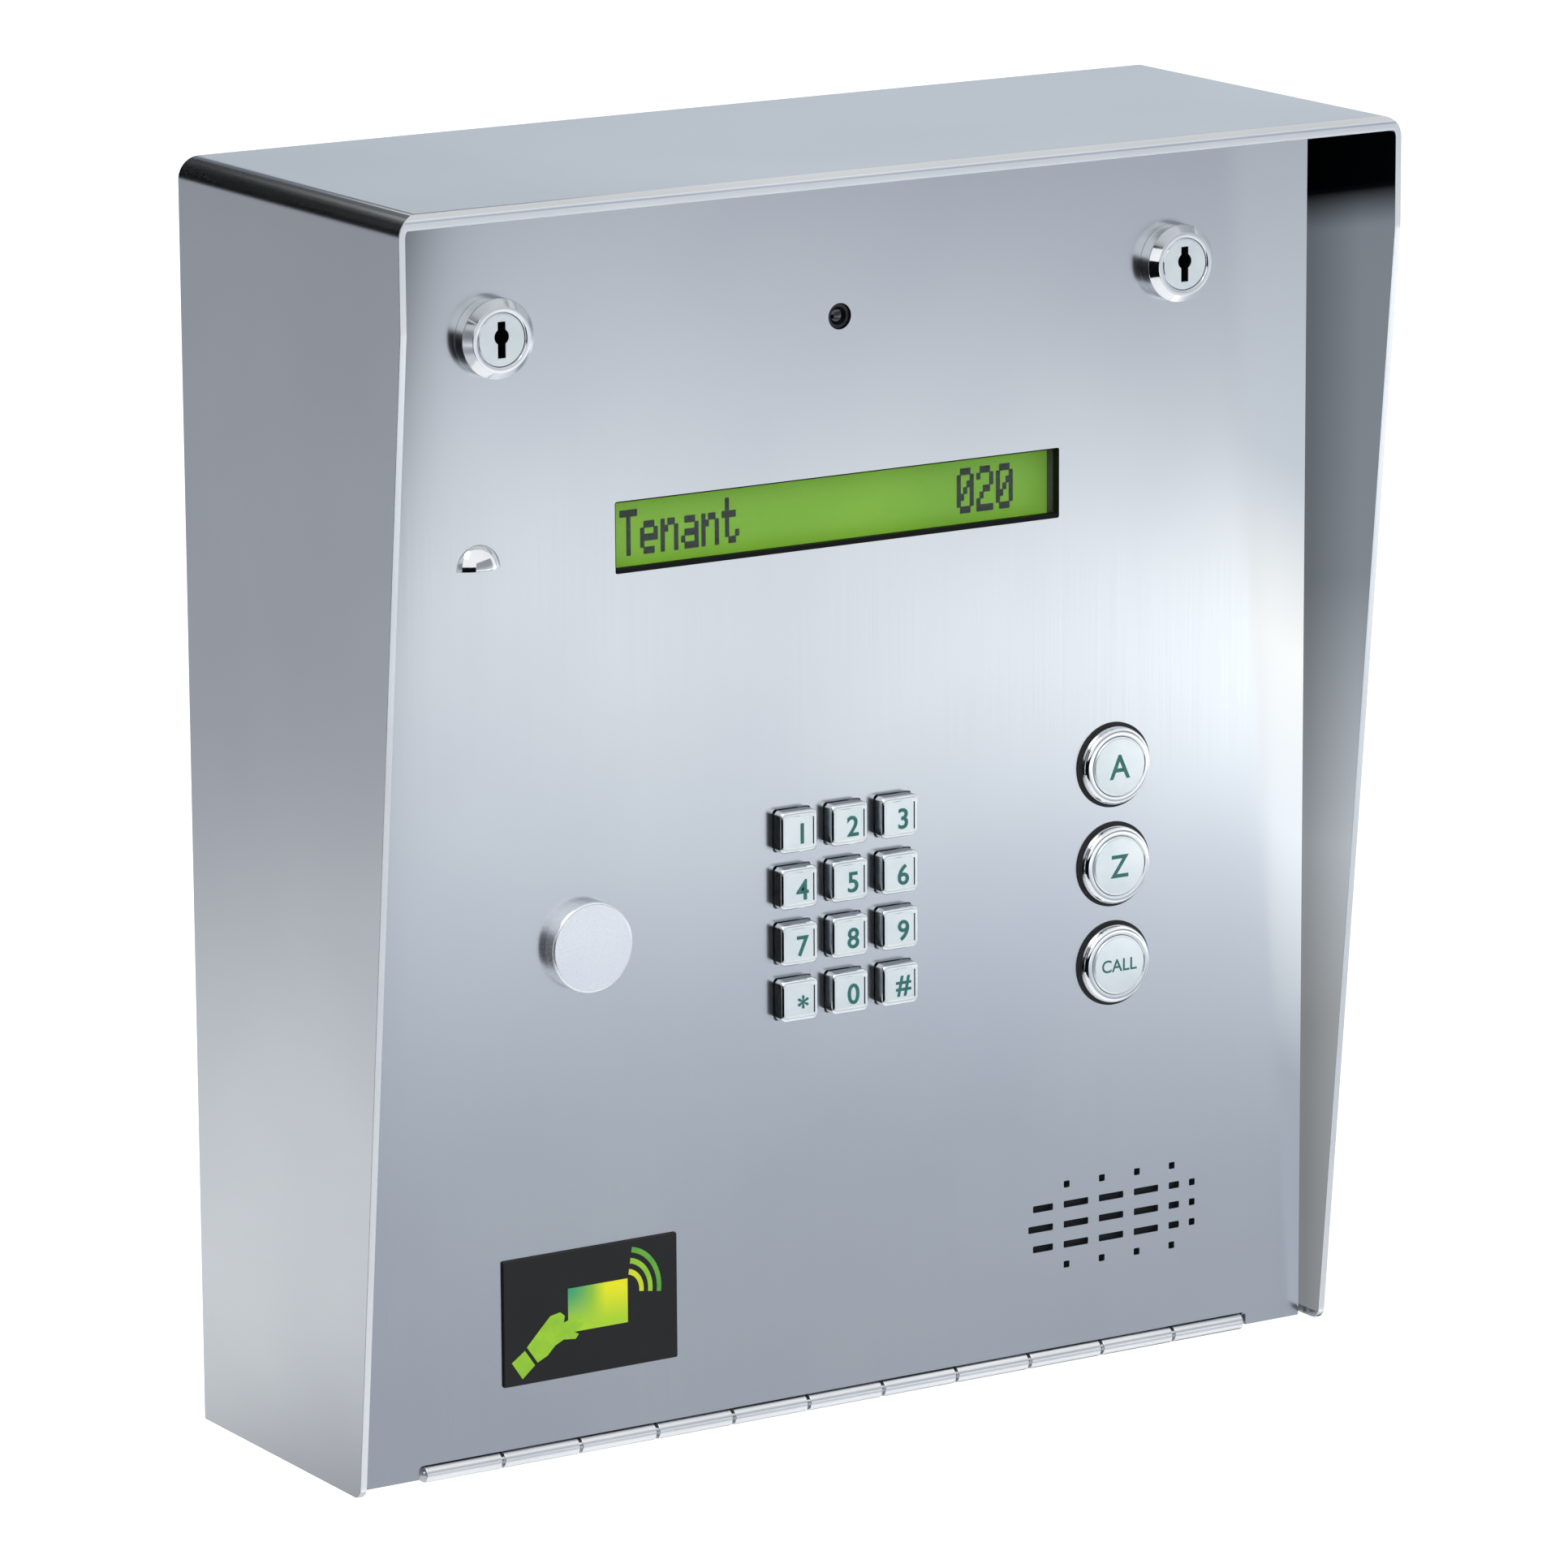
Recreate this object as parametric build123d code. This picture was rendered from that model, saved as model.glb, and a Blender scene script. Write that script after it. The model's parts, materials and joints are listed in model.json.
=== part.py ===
from build123d import *
import math
import os

# Wall-mounted telephone entry panel, millimetres. The front faces -Y, the wall lies behind +Y and +Z is up.
# The origin is the centre of the four wall bolt holes, on the rear face of the back plate.

# --- Driving dimensions: enclosure -------------------------------------------------------------
WIDTH = 305.0  # outside the folded side cheeks
HEIGHT = 340.0  # bottom edge of the cheeks to the top of the hood
HOOD_DEPTH = 116.5  # wall to the front lip of the hood
CHEEK_DEPTH = 85.5  # wall to the front edge of the cheeks at the bottom
FACE_DEPTH = 78.5  # wall to the outer face of the door
SHEET = 2.0  # housing and door sheet
THIN_SHEET = 1.5  # door frame and flanges
BEND = 6.0  # outer radius of the shell's two top bends
LIP = 4.0  # height of the hood's turned-down lip
LIP_BEND = 2.2
HOOD_STRAIGHT = 30.0  # upright part of the cheek's front edge, below the hood's top
KINK_BLEND = 15.0
TOE_ROUND = 3.5  # front bottom corner of each cheek
FLANGE = 12.0  # turned rear flange of the bottom panel
WALL_HOLES_X = 220.0
WALL_HOLES_Z = 260.0
WALL_HOLE_RADIUS = 3.25
CONDUIT_RADIUS = 14.0
CONDUIT_HEIGHT = 62.0  # conduit hole above the bottom edge
GROMMET_BORE = 10.0
GROMMET_FLANGE = 3.0
GROMMET_RISE = 2.5

# --- Driving dimensions: door and its hinge ----------------------------------------------------
DOOR_SIDE_GAP = 1.3
DOOR_TOP_GAP = 2.5
DOOR_RETURN = 12.0
DOOR_EDGE_ROUND = 1.0
FRAME_WIDTH = 12.5  # visible width of the door frame's sealing flange
FRAME_RIM = 10.0
GASKET = 2.9  # thickness of the door seal
GASKET_WIDTH = 8.0
SOFT_GAP = 0.3  # between a soft or curved face and what it meets
KNUCKLE_RADIUS = 2.25
KNUCKLES = 11
KNUCKLE_PITCH = 23.6
KNUCKLE_GAP = 0.4
LEAF = 1.2
LEAF_WIDTH = 12.0
PIN_RADIUS = 1.0
PIN_FIT = 0.05  # radial, in the door's knuckles
TIGHT_FIT = 0.01  # radial, where a pin or thread stays put
NOTCH_GAP = 0.35  # door sheet above the knuckles
NOTCH_ROUND = 1.2

# --- Driving dimensions: what the door carries -------------------------------------------------
RIGHT_COLUMN = 66.2  # round buttons and speaker, in from the right side
LEFT_COLUMN = 73.5  # lock cover and card reader, in from the left side
CONTROL_HEIGHT = 136.8  # keypad, middle button and lock cover
LOWER_HEIGHT = 38.0  # card reader and speaker
LOCK_INSET = 47.5
LOCK_DROP = 40.2
LOCK_HEAD_RADIUS = 10.5
LOCK_PROUD = 6.0
LOCK_BEVEL = 2.0
LOCK_BARREL_RADIUS = 9.5
LOCK_PLUG_RADIUS = 7.0
LOCK_LENGTH = 18.0  # door face to the rear of the barrel
KEYWAY = (2.2, 9.4, 9.0)  # width, height, depth
KEYWAY_EYE = 2.1
RUN_FIT = 0.05  # radial, moving plugs, caps and stems
CAM = 2.5
CAM_LENGTH = 30.0
CAM_WIDTH = 15.0
CAM_GAP = 0.8  # cam behind the door frame's flange
TAIL = 7.0  # square tail of the plug
CAM_NUT = (10.0, 3.0)  # across flats, thickness
BIG_NUT = 24.0  # across flats, on locks and cover
BIG_NUT_THICK = 3.5
COVER_RADIUS = 12.15
COVER_PROUD = 4.2
COVER_ROUND = 0.8
COVER_STEM = 12.0
CAMERA_DROP = 45.0
CAMERA_HOLE_RADIUS = 3.5
CAMERA_SEAT = 6.5  # door to the camera's board
CAMERA_RECESS = 0.8  # lens barrel behind the door's face
CAMERA_POCKET = (2.4, 1.2)  # radius and depth of the lens pocket
CAMERA_BLOCK = 17.0
CAMERA_BOARD = (36.0, 20.0)
CAMERA_REAR = (14.0, 12.0, 4.0)
DISPLAY_DROP = 96.5
DISPLAY_OPENING = (137.5, 19.0)
DISPLAY_BORDER = 6.2  # window, gasket and module beyond the opening
DISPLAY_WINDOW = 1.5
DISPLAY_GASKET = 3.0
DISPLAY_MODULE = 5.0
DISPLAY_RIM = (4.5, 0.6)  # width and height of the module's rim
DISPLAY_TABS = (8.0, 7.0)  # board beyond the module, sideways and upright
BOARD_THICK = 1.6  # every circuit board on the door
GASKET_SLACK = 0.3
LOUVRE_INSET = 43.0
LOUVRE_DROP = 100.2
LOUVRE_RADIUS = 6.4
LOUVRE_PROUD = 3.0
LOUVRE_WALL = 0.7
CAPSULE_RADIUS = 4.85
CAPSULE = 6.0
BOOT_WALL = 4.0
KEY = (11.4, 11.2)
KEY_PITCH = (15.75, 15.25)
KEY_PROUD = 4.2
KEY_ROUND = 0.9
KEY_GAP = 0.2
KEY_FLANGE = 0.9  # flange beyond the key, each side
KEY_FLANGE_THICK = 1.5
KEY_REST_GAP = 0.05
KEY_TRAVEL = 1.2
KEY_FOOT = 2.2
KEYPAD_BORDER = 9.6  # frame beyond the outer keys
KEYPAD_DEPTH = 8.5
KEYPAD_MAT = 1.5
MAT_INSET = 7.0  # mat inside the frame's edge, clear of the studs
DOME_RADIUS = 3.0
BUTTON_PITCH = 27.5
BEZEL_RADIUS = 11.6
BEZEL_PROUD = 3.0
BEZEL_FRONT = 9.4  # radius of the bezel's front edge
CAP_RADIUS = 8.2
CAP_PROUD = 0.4
CAP_THICK = 3.4
CAP_TRAVEL = 1.5
STEM_RADIUS = 4.5
BUTTON_BARREL_RADIUS = 9.5
BUTTON_LENGTH = 16.5
BUTTON_NUT = 22.0
BUTTON_NUT_THICK = 4.0
SWITCH = (9.0, 14.0)  # radius, length
READER_WINDOW = (53.2, 34.5)
READER_PROUD = 0.8
READER_LEDGE = 3.5
READER_MODULE = 10.0
READER_EAR = 10.0
SPEAKER_TUB = (58.0, 31.0, 10.0)
SPEAKER_PLATE = (9.0, 5.0, 1.5)  # plate beyond the tub, sideways and upright, and its thickness
SPEAKER_SCREEN = (2.0, 3.0, 0.5)  # the same for the screen
SPEAKER_WALL = 1.2
MAGNET = (14.0, 10.0)
SLOT = (8.0, 1.9)
SLOT_PITCH = (11.5, 5.65)
SLOT_START = -27.2  # left edge of the first column, from the speaker's centre
STUD_RADIUS = 1.5
STUD_INSET = 4.0  # stud in from the edges of what it holds
STUD_SPARE = 1.0  # stud beyond its nut
STUD_SHOULDER = 1.0
STUD_GAP = 0.2  # radial, board and plate holes
STUD_NUT = 5.5
STUD_NUT_THICK = 2.4

# --- Driving dimensions: circuit board on the back plate ---------------------------------------
BOARD = (200.0, 150.0, 1.6)
BOARD_HEIGHT = 180.0
POST = (4.0, 10.0)
POST_SNAP = 1.9
TERMINAL = (62.0, 11.0, 12.0)
TERMINAL_WAYS = 12
RELAY = (15.0, 19.0, 15.0)
CAPACITOR = (6.3, 16.0)
EARTH_STUD = (2.5, 15.0)
EARTH_NUT = 8.0

# --- Planes and places worked out from the above -------------------------------------------------
BOTTOM = -HEIGHT / 2
TOP = HEIGHT / 2
SIDE = WIDTH / 2
FACE = -FACE_DEPTH
INNER = FACE + SHEET  # inner face of the door sheet
DOOR_SIDE = SIDE - SHEET - DOOR_SIDE_GAP
DOOR_TOP = TOP - SHEET - DOOR_TOP_GAP
RETURN_END = INNER + DOOR_RETURN
FRAME_FRONT = RETURN_END + SOFT_GAP + GASKET
FRAME_BACK = FRAME_FRONT + THIN_SHEET
AXIS_Y = INNER + LEAF - KNUCKLE_RADIUS
AXIS_Z = BOTTOM - LEAF + KNUCKLE_RADIUS
LEAF_START = KNUCKLE_RADIUS + KNUCKLE_GAP  # a leaf clears the other leaf's knuckles by this
HINGE_HALF = KNUCKLES * KNUCKLE_PITCH / 2
RIGHT_X = SIDE - RIGHT_COLUMN
LEFT_X = LEFT_COLUMN - SIDE
CONTROL_Z = BOTTOM + CONTROL_HEIGHT
LOWER_Z = BOTTOM + LOWER_HEIGHT
LOCK_X = SIDE - LOCK_INSET
LOCK_Z = TOP - LOCK_DROP
CAMERA_Z = TOP - CAMERA_DROP
DISPLAY_Z = TOP - DISPLAY_DROP
LOUVRE_X = LOUVRE_INSET - SIDE
LOUVRE_Z = TOP - LOUVRE_DROP
BARREL_END = FACE + LOCK_LENGTH
CAM_FRONT = FRAME_BACK + CAM_GAP
GASKET_FRONT = INNER + DISPLAY_WINDOW
MODULE_FRONT = GASKET_FRONT + DISPLAY_GASKET
DISPLAY_BOARD_FRONT = MODULE_FRONT + DISPLAY_MODULE
MAT_FRONT = INNER + KEYPAD_DEPTH
KEYPAD_BOARD_FRONT = MAT_FRONT + KEYPAD_MAT
KEY_FOOT_END = INNER + KEY_REST_GAP + KEY_FLANGE_THICK + KEY_FOOT
CAMERA_BOARD_FRONT = INNER + CAMERA_SEAT
READER_BACK = INNER + THIN_SHEET + READER_MODULE
SPEAKER_BACK = INNER + SPEAKER_SCREEN[2] + SPEAKER_PLATE[2]
BUTTON_END = FACE + BUTTON_LENGTH
DISPLAY_SIZE = (DISPLAY_OPENING[0] + 2 * DISPLAY_BORDER, DISPLAY_OPENING[1] + 2 * DISPLAY_BORDER)
DISPLAY_BOARD = (DISPLAY_SIZE[0] + 2 * DISPLAY_TABS[0], DISPLAY_SIZE[1] + 2 * DISPLAY_TABS[1])
KEYPAD_SIZE = (
    2 * KEY_PITCH[0] + KEY[0] + 2 * KEYPAD_BORDER,
    3 * KEY_PITCH[1] + KEY[1] + 2 * KEYPAD_BORDER,
)
SPEAKER_SIZE = (SPEAKER_TUB[0] + 2 * SPEAKER_PLATE[0], SPEAKER_TUB[1] + 2 * SPEAKER_PLATE[1])
READER_SIZE = (READER_WINDOW[0] + 2 * READER_LEDGE, READER_WINDOW[1] + 2 * READER_LEDGE)
PLATE_FRONT = -SHEET
BOARD_BACK = PLATE_FRONT - POST[1]
BOARD_FRONT = BOARD_BACK - BOARD[2]
BOARD_Z = BOTTOM + BOARD_HEIGHT
KEY_NAMES = ("1", "2", "3", "4", "5", "6", "7", "8", "9", "star", "0", "hash")


# --- Shapes used all over ----------------------------------------------------------------------
def span(centre, width):
    """Low and high end of a width about a centre."""
    return (centre - width / 2, centre + width / 2)


def block(x, y, z):
    """Box from three (low, high) spans."""
    return Pos(sum(x) / 2, sum(y) / 2, sum(z) / 2) * Box(x[1] - x[0], y[1] - y[0], z[1] - z[0])


def rod(x, z, radius, y):
    """Round bar along Y."""
    return Pos(x, sum(y) / 2, z) * Rot(90, 0, 0) * Cylinder(radius, y[1] - y[0])


def along_y(sketch, y, x=0.0, z=0.0):
    """Sketch drawn as seen from the front, extruded over a span of Y."""
    plane = Plane((x, y[1], z), x_dir=(1, 0, 0), z_dir=(0, -1, 0))
    return extrude(plane * sketch, amount=y[1] - y[0])


def along_x(sketch, x):
    """Sketch in Y and Z, extruded over a span of X."""
    return extrude(Plane((x[0], 0, 0), x_dir=(0, 1, 0), z_dir=(1, 0, 0)) * sketch, amount=x[1] - x[0])


def tile(size, corner, y, x=0.0, z=0.0):
    """Plate with rounded corners, as seen from the front."""
    return along_y(RectangleRounded(size[0], size[1], corner), y, x, z)


def hexagon(x, z, flats, bore, y):
    """Hexagon nut along Y."""
    shape = RegularPolygon(flats / 2 / math.cos(math.pi / 6), 6)
    return along_y(shape, y, x, z) - rod(x, z, bore, (y[0] - 1, y[1] + 1))


def four(x, z, half_x, half_z):
    """Four places about a centre."""
    return [(x + i * half_x, z + j * half_z) for i in (-1, 1) for j in (-1, 1)]


def arch(width, height, radius):
    """Upright rectangle whose two top corners are rounded."""
    shape = Rectangle(width, height)
    return fillet(shape.vertices().group_by(Axis.Y)[-1], radius)


def front_edges(solid, radius):
    """Rounds the edges of a solid's foremost face."""
    return fillet(solid.faces().sort_by(Axis.Y)[0].edges(), radius)


# --- Studs: every bracket and board on the door sits on welded studs, under its nut seat ---------
def stud_places():
    """(x, z, nut seat, shoulder) of each welded stud."""
    held = (
        (0, DISPLAY_Z, DISPLAY_BOARD, DISPLAY_BOARD_FRONT + BOARD_THICK),
        (0, CONTROL_Z, KEYPAD_SIZE, KEYPAD_BOARD_FRONT + BOARD_THICK),
        (RIGHT_X, LOWER_Z, SPEAKER_SIZE, SPEAKER_BACK),
    )
    places = []
    for x, z, size, seat in held:
        corners = four(x, z, size[0] / 2 - STUD_INSET, size[1] / 2 - STUD_INSET)
        places += [(stud_x, stud_z, seat, 0) for stud_x, stud_z in corners]
    ear = (READER_SIZE[0] + READER_EAR) / 2
    camera = CAMERA_BOARD[0] / 2 - STUD_INSET - STUD_SHOULDER / 2
    camera_seat = CAMERA_BOARD_FRONT + BOARD_THICK
    for side in (-1, 1):
        places.append((LEFT_X + side * ear, LOWER_Z, READER_BACK, 0))
        places.append((side * camera, CAMERA_Z, camera_seat, CAMERA_SEAT))
    return places


def clear_studs(solid, y):
    """Drills every stud hole that falls in a plate."""
    for x, z, _, _ in stud_places():
        solid -= rod(x, z, STUD_RADIUS + STUD_GAP, y)
    return solid


# --- Enclosure ---------------------------------------------------------------------------------
def side_outline():
    """Side view of the shell: hood on top, front edge tapering to the toe."""
    kink = TOP - HOOD_STRAIGHT
    corners = [(0, BOTTOM), (0, TOP), (-HOOD_DEPTH, TOP), (-HOOD_DEPTH, kink), (-CHEEK_DEPTH, BOTTOM)]
    shape = make_face(Polyline(*corners, close=True))
    for index, radius in ((3, KINK_BLEND), (2, LIP_BEND), (4, TOE_ROUND)):
        shape = fillet(shape.vertices().sort_by_distance((*corners[index], 0))[0], radius)
    return shape


def make_housing_shell():
    """One folded sheet: left cheek, hood top, right cheek, and the hood's lip."""
    inside = Pos(0, -SHEET) * arch(WIDTH - 2 * SHEET, HEIGHT, BEND - SHEET)
    below_lip = Pos(0, -LIP) * Rectangle(WIDTH, HEIGHT)
    shell = along_y(arch(WIDTH, HEIGHT, BEND), (-HOOD_DEPTH, 0))
    shell -= along_y(inside, (-HOOD_DEPTH + SHEET, 1))
    shell -= along_y(inside & below_lip, (-HOOD_DEPTH - 1, -HOOD_DEPTH + SHEET))
    return shell & along_x(side_outline(), (-SIDE, SIDE))


def make_back_plate():
    """Flat rear plate, welded inside the shell, with wall holes and the conduit hole."""
    outline = Pos(0, -SHEET / 2) * arch(WIDTH - 2 * SHEET, HEIGHT - SHEET, BEND - SHEET + 1)
    plate = along_y(outline, (PLATE_FRONT, 0))
    for x, z in four(0, 0, WALL_HOLES_X / 2, WALL_HOLES_Z / 2):
        plate -= rod(x, z, WALL_HOLE_RADIUS, (-FLANGE, 1))
    return plate - rod(0, BOTTOM + CONDUIT_HEIGHT, CONDUIT_RADIUS, (-FLANGE, 1))


def make_bottom_panel():
    """Floor of the enclosure with a turned rear flange and three weep slots."""
    half = SIDE - SHEET
    front = AXIS_Y + LEAF_START
    panel = block((-half, half), (front, PLATE_FRONT), (BOTTOM, BOTTOM + SHEET))
    panel += block((-half, half), (PLATE_FRONT - THIN_SHEET, PLATE_FRONT), (BOTTOM, BOTTOM + FLANGE))
    for x in (-WIDTH / 3, 0, WIDTH / 3):
        panel -= Pos(x, -FLANGE * 2, BOTTOM) * extrude(SlotOverall(20, 4), 2 * SHEET, both=True)
    return panel


def frame_opening(extra=0.0):
    """Front view of the door frame's opening, grown by extra."""
    return RectangleRounded(
        WIDTH - 2 * SHEET - 2 * FRAME_WIDTH + 2 * extra, HEIGHT - 2 * SHEET - 2 * FRAME_WIDTH + 2 * extra, 4
    )


def make_door_frame():
    """Inner angle frame that stiffens the shell, carries the seal and catches the cams."""
    size = (WIDTH - 2 * SHEET, HEIGHT - 2 * SHEET)
    frame = along_y(arch(*size, BEND - SHEET + 1), (FRAME_FRONT, FRAME_BACK + FRAME_RIM))
    inner = arch(size[0] - 2 * THIN_SHEET, size[1] - 2 * THIN_SHEET, BEND - SHEET)
    frame -= along_y(inner, (FRAME_BACK, FRAME_BACK + FRAME_RIM + 1))
    return frame - along_y(frame_opening(), (FRAME_FRONT - 1, FRAME_BACK + 1))


def make_door_gasket():
    """Rubber seal on the front of the door frame."""
    ring = frame_opening(1 + GASKET_WIDTH) - frame_opening(1)
    return along_y(ring, (FRAME_FRONT - GASKET, FRAME_FRONT))


def make_grommet():
    """Rubber grommet in the conduit hole."""
    z = BOTTOM + CONDUIT_HEIGHT
    grommet = rod(0, z, CONDUIT_RADIUS, (PLATE_FRONT, 0))
    grommet += rod(0, z, CONDUIT_RADIUS + GROMMET_FLANGE, (PLATE_FRONT - GROMMET_RISE, PLATE_FRONT))
    return grommet - rod(0, z, GROMMET_BORE, (PLATE_FRONT - GROMMET_RISE - 1, 1))


def make_earth_stud():
    """Welded earthing stud and its nut, as two solids."""
    x, z = WALL_HOLES_X / 4, BOTTOM + CONDUIT_HEIGHT
    radius, length = EARTH_STUD
    stud = rod(x, z, radius, (PLATE_FRONT - length, PLATE_FRONT))
    nut = hexagon(x, z, EARTH_NUT, radius + TIGHT_FIT, (PLATE_FRONT - radius * 2, PLATE_FRONT - 1))
    return Compound([stud, nut])


# --- Hinge -------------------------------------------------------------------------------------
def knuckle_spans(own):
    """X span of each knuckle of one leaf: own is 0 for the body, 1 for the door."""
    start = -HINGE_HALF
    return [
        (start + i * KNUCKLE_PITCH + KNUCKLE_GAP / 2, start + (i + 1) * KNUCKLE_PITCH - KNUCKLE_GAP / 2)
        for i in range(own, KNUCKLES, 2)
    ]


def barrel(x, radius):
    """Round bar along X on the hinge axis."""
    return Pos(sum(x) / 2, AXIS_Y, AXIS_Z) * Rot(0, 90, 0) * Cylinder(radius, x[1] - x[0])


def make_hinge_body_leaf():
    """Leaf under the bottom panel, with the outer and alternate knuckles."""
    z = (BOTTOM - LEAF, BOTTOM)
    leaf = block((-HINGE_HALF, HINGE_HALF), (AXIS_Y + LEAF_START, AXIS_Y + LEAF_START + LEAF_WIDTH), z)
    for x in knuckle_spans(0):
        leaf += block(x, (AXIS_Y, AXIS_Y + LEAF_START + 1), z) + barrel(x, KNUCKLE_RADIUS)
    return leaf - barrel((-HINGE_HALF - 1, HINGE_HALF + 1), PIN_RADIUS + TIGHT_FIT)


def make_hinge_door_leaf():
    """Leaf behind the door sheet, with the knuckles between."""
    y = (INNER, INNER + LEAF)
    leaf = block((-HINGE_HALF, HINGE_HALF), y, (AXIS_Z + LEAF_START, AXIS_Z + LEAF_START + LEAF_WIDTH))
    for x in knuckle_spans(1):
        leaf += block(x, y, (AXIS_Z, AXIS_Z + LEAF_START + 1)) + barrel(x, KNUCKLE_RADIUS)
    return leaf - barrel((-HINGE_HALF - 1, HINGE_HALF + 1), PIN_RADIUS + PIN_FIT)


def make_hinge_pin():
    """Pin through all knuckles."""
    return barrel((-HINGE_HALF + KNUCKLE_GAP / 2, HINGE_HALF - KNUCKLE_GAP / 2), PIN_RADIUS)


# --- Door --------------------------------------------------------------------------------------
def key_places():
    """Name and centre of each key, left to right from the top row."""
    places = []
    for i, name in enumerate(KEY_NAMES):
        row, column = divmod(i, 3)
        places.append((name, (column - 1) * KEY_PITCH[0], CONTROL_Z + (1.5 - row) * KEY_PITCH[1]))
    return places


def button_places():
    """Name and centre of each round button, from the top."""
    return [(name, RIGHT_X, CONTROL_Z + (1 - i) * BUTTON_PITCH) for i, name in enumerate(("a", "z", "call"))]


def speaker_slots():
    """Size and centre of each slot of the speaker grille: three full rows between two short ones."""
    slots = []
    for row in range(-2, 3):
        z = LOWER_Z + row * SLOT_PITCH[1]
        widths = [SLOT[1]] * 4 if abs(row) == 2 else [SLOT[0] - 1.5 * abs(row), *[SLOT[0]] * 3, 3.4, SLOT[1]]
        for column, width in enumerate(widths):
            left = SLOT_START + (column + (abs(row) == 2)) * SLOT_PITCH[0]
            if abs(row) < 2 and column == 0:
                left += SLOT[0] - width
            if abs(row) < 2 and column == 5:
                left = SLOT_START + 4 * SLOT_PITCH[0] + 6.7
            slots.append((width, RIGHT_X + left + width / 2, z))
    return slots


def half_disc(radius):
    """Half disc, flat side down, on the louvre's centre."""
    return Circle(radius) & Pos(0, radius) * Rectangle(2 * radius, 2 * radius)


def make_door_panel():
    """Folded door sheet with its cut-outs."""
    door = block((-DOOR_SIDE, DOOR_SIDE), (FACE, RETURN_END), (BOTTOM, DOOR_TOP))
    outer = [e for e in door.faces().sort_by(Axis.Y)[0].edges() if e.center().Z > BOTTOM + 1]
    door = fillet(outer, DOOR_EDGE_ROUND)
    inner = DOOR_SIDE - SHEET
    door -= block((-inner, inner), (INNER, RETURN_END + 1), (BOTTOM - 1, DOOR_TOP - SHEET))
    trim = LEAF_START + DOOR_EDGE_ROUND
    door -= block((-SIDE, SIDE), (INNER, RETURN_END + 1), (BOTTOM - 1, BOTTOM + trim))
    notch_top = AXIS_Z + KNUCKLE_RADIUS + NOTCH_GAP
    notch = Pos(0, notch_top - HEIGHT / 2) * arch(2 * (HINGE_HALF + NOTCH_ROUND), HEIGHT, NOTCH_ROUND)
    through = (FACE - 1, INNER + 1)
    door -= along_y(notch, through)
    for x in (-LOCK_X, LOCK_X):
        door -= rod(x, LOCK_Z, LOCK_BARREL_RADIUS + STUD_GAP, through)
    door -= rod(LEFT_X, CONTROL_Z, LOCK_BARREL_RADIUS + STUD_GAP, through)
    door -= rod(0, CAMERA_Z, CAMERA_HOLE_RADIUS, through)
    door -= tile(DISPLAY_OPENING, 0.6, through, 0, DISPLAY_Z)
    door -= along_y(half_disc(LOUVRE_RADIUS + RUN_FIT), through, LOUVRE_X, LOUVRE_Z)
    door -= tile(READER_WINDOW, 0.6, through, LEFT_X, LOWER_Z)
    for _, x, z in key_places():
        door -= tile((KEY[0] + 2 * KEY_GAP, KEY[1] + 2 * KEY_GAP), 1.0, through, x, z)
    for _, x, z in button_places():
        door -= rod(x, z, BUTTON_BARREL_RADIUS + STUD_GAP, through)
    for width, x, z in speaker_slots():
        door -= tile((width, SLOT[1]), 0.3, through, x, z)
    return door


def make_door_studs():
    """The door's welded studs, the camera's with shoulders, and a nut on each."""
    studs = []
    for x, z, seat, shoulder in stud_places():
        stud = rod(x, z, STUD_RADIUS, (INNER, seat + STUD_NUT_THICK + STUD_SPARE))
        if shoulder:
            stud += rod(x, z, STUD_RADIUS + STUD_SHOULDER, (INNER, INNER + shoulder))
        nut = hexagon(x, z, STUD_NUT, STUD_RADIUS + TIGHT_FIT, (seat, seat + STUD_NUT_THICK))
        studs += [stud, nut]
    return Compound(studs)


# --- Locks -------------------------------------------------------------------------------------
def make_lock_bodies():
    """Two bevelled heads with threaded barrels, bored for their plugs."""
    bodies = []
    for x in (-LOCK_X, LOCK_X):
        head = rod(x, LOCK_Z, LOCK_HEAD_RADIUS, (FACE - LOCK_PROUD, FACE))
        head = chamfer(head.faces().sort_by(Axis.Y)[0].edges(), LOCK_BEVEL)
        body = head + rod(x, LOCK_Z, LOCK_BARREL_RADIUS, (FACE, BARREL_END))
        bodies.append(body - rod(x, LOCK_Z, LOCK_PLUG_RADIUS + RUN_FIT, (FACE - LOCK_PROUD - 1, BARREL_END + 1)))
    return Compound(bodies)


def make_lock_nuts():
    """Three large nuts, behind both locks and the lock cover."""
    y = (INNER, INNER + BIG_NUT_THICK)
    places = [(-LOCK_X, LOCK_Z), (LOCK_X, LOCK_Z), (LEFT_X, CONTROL_Z)]
    return Compound([hexagon(x, z, BIG_NUT, LOCK_BARREL_RADIUS + TIGHT_FIT, y) for x, z in places])


def make_lock_plug(x):
    """Turning plug with its keyway and square tail."""
    front = FACE - LOCK_PROUD + 0.2
    plug = rod(x, LOCK_Z, LOCK_PLUG_RADIUS, (front, CAM_FRONT))
    plug = chamfer(plug.faces().sort_by(Axis.Y)[0].edges(), 0.4)
    plug += block(span(x, TAIL), (CAM_FRONT - 1, CAM_FRONT + CAM), span(LOCK_Z, TAIL))
    plug += rod(x, LOCK_Z, TAIL / 2 - 0.5, (CAM_FRONT, CAM_FRONT + CAM + CAM_NUT[1] + 1))
    width, height, depth = KEYWAY
    plug -= block(span(x, width), (front - 1, front + depth), span(LOCK_Z, height))
    return plug - rod(x, LOCK_Z + 0.8, KEYWAY_EYE, (front - 1, front + depth))


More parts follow.
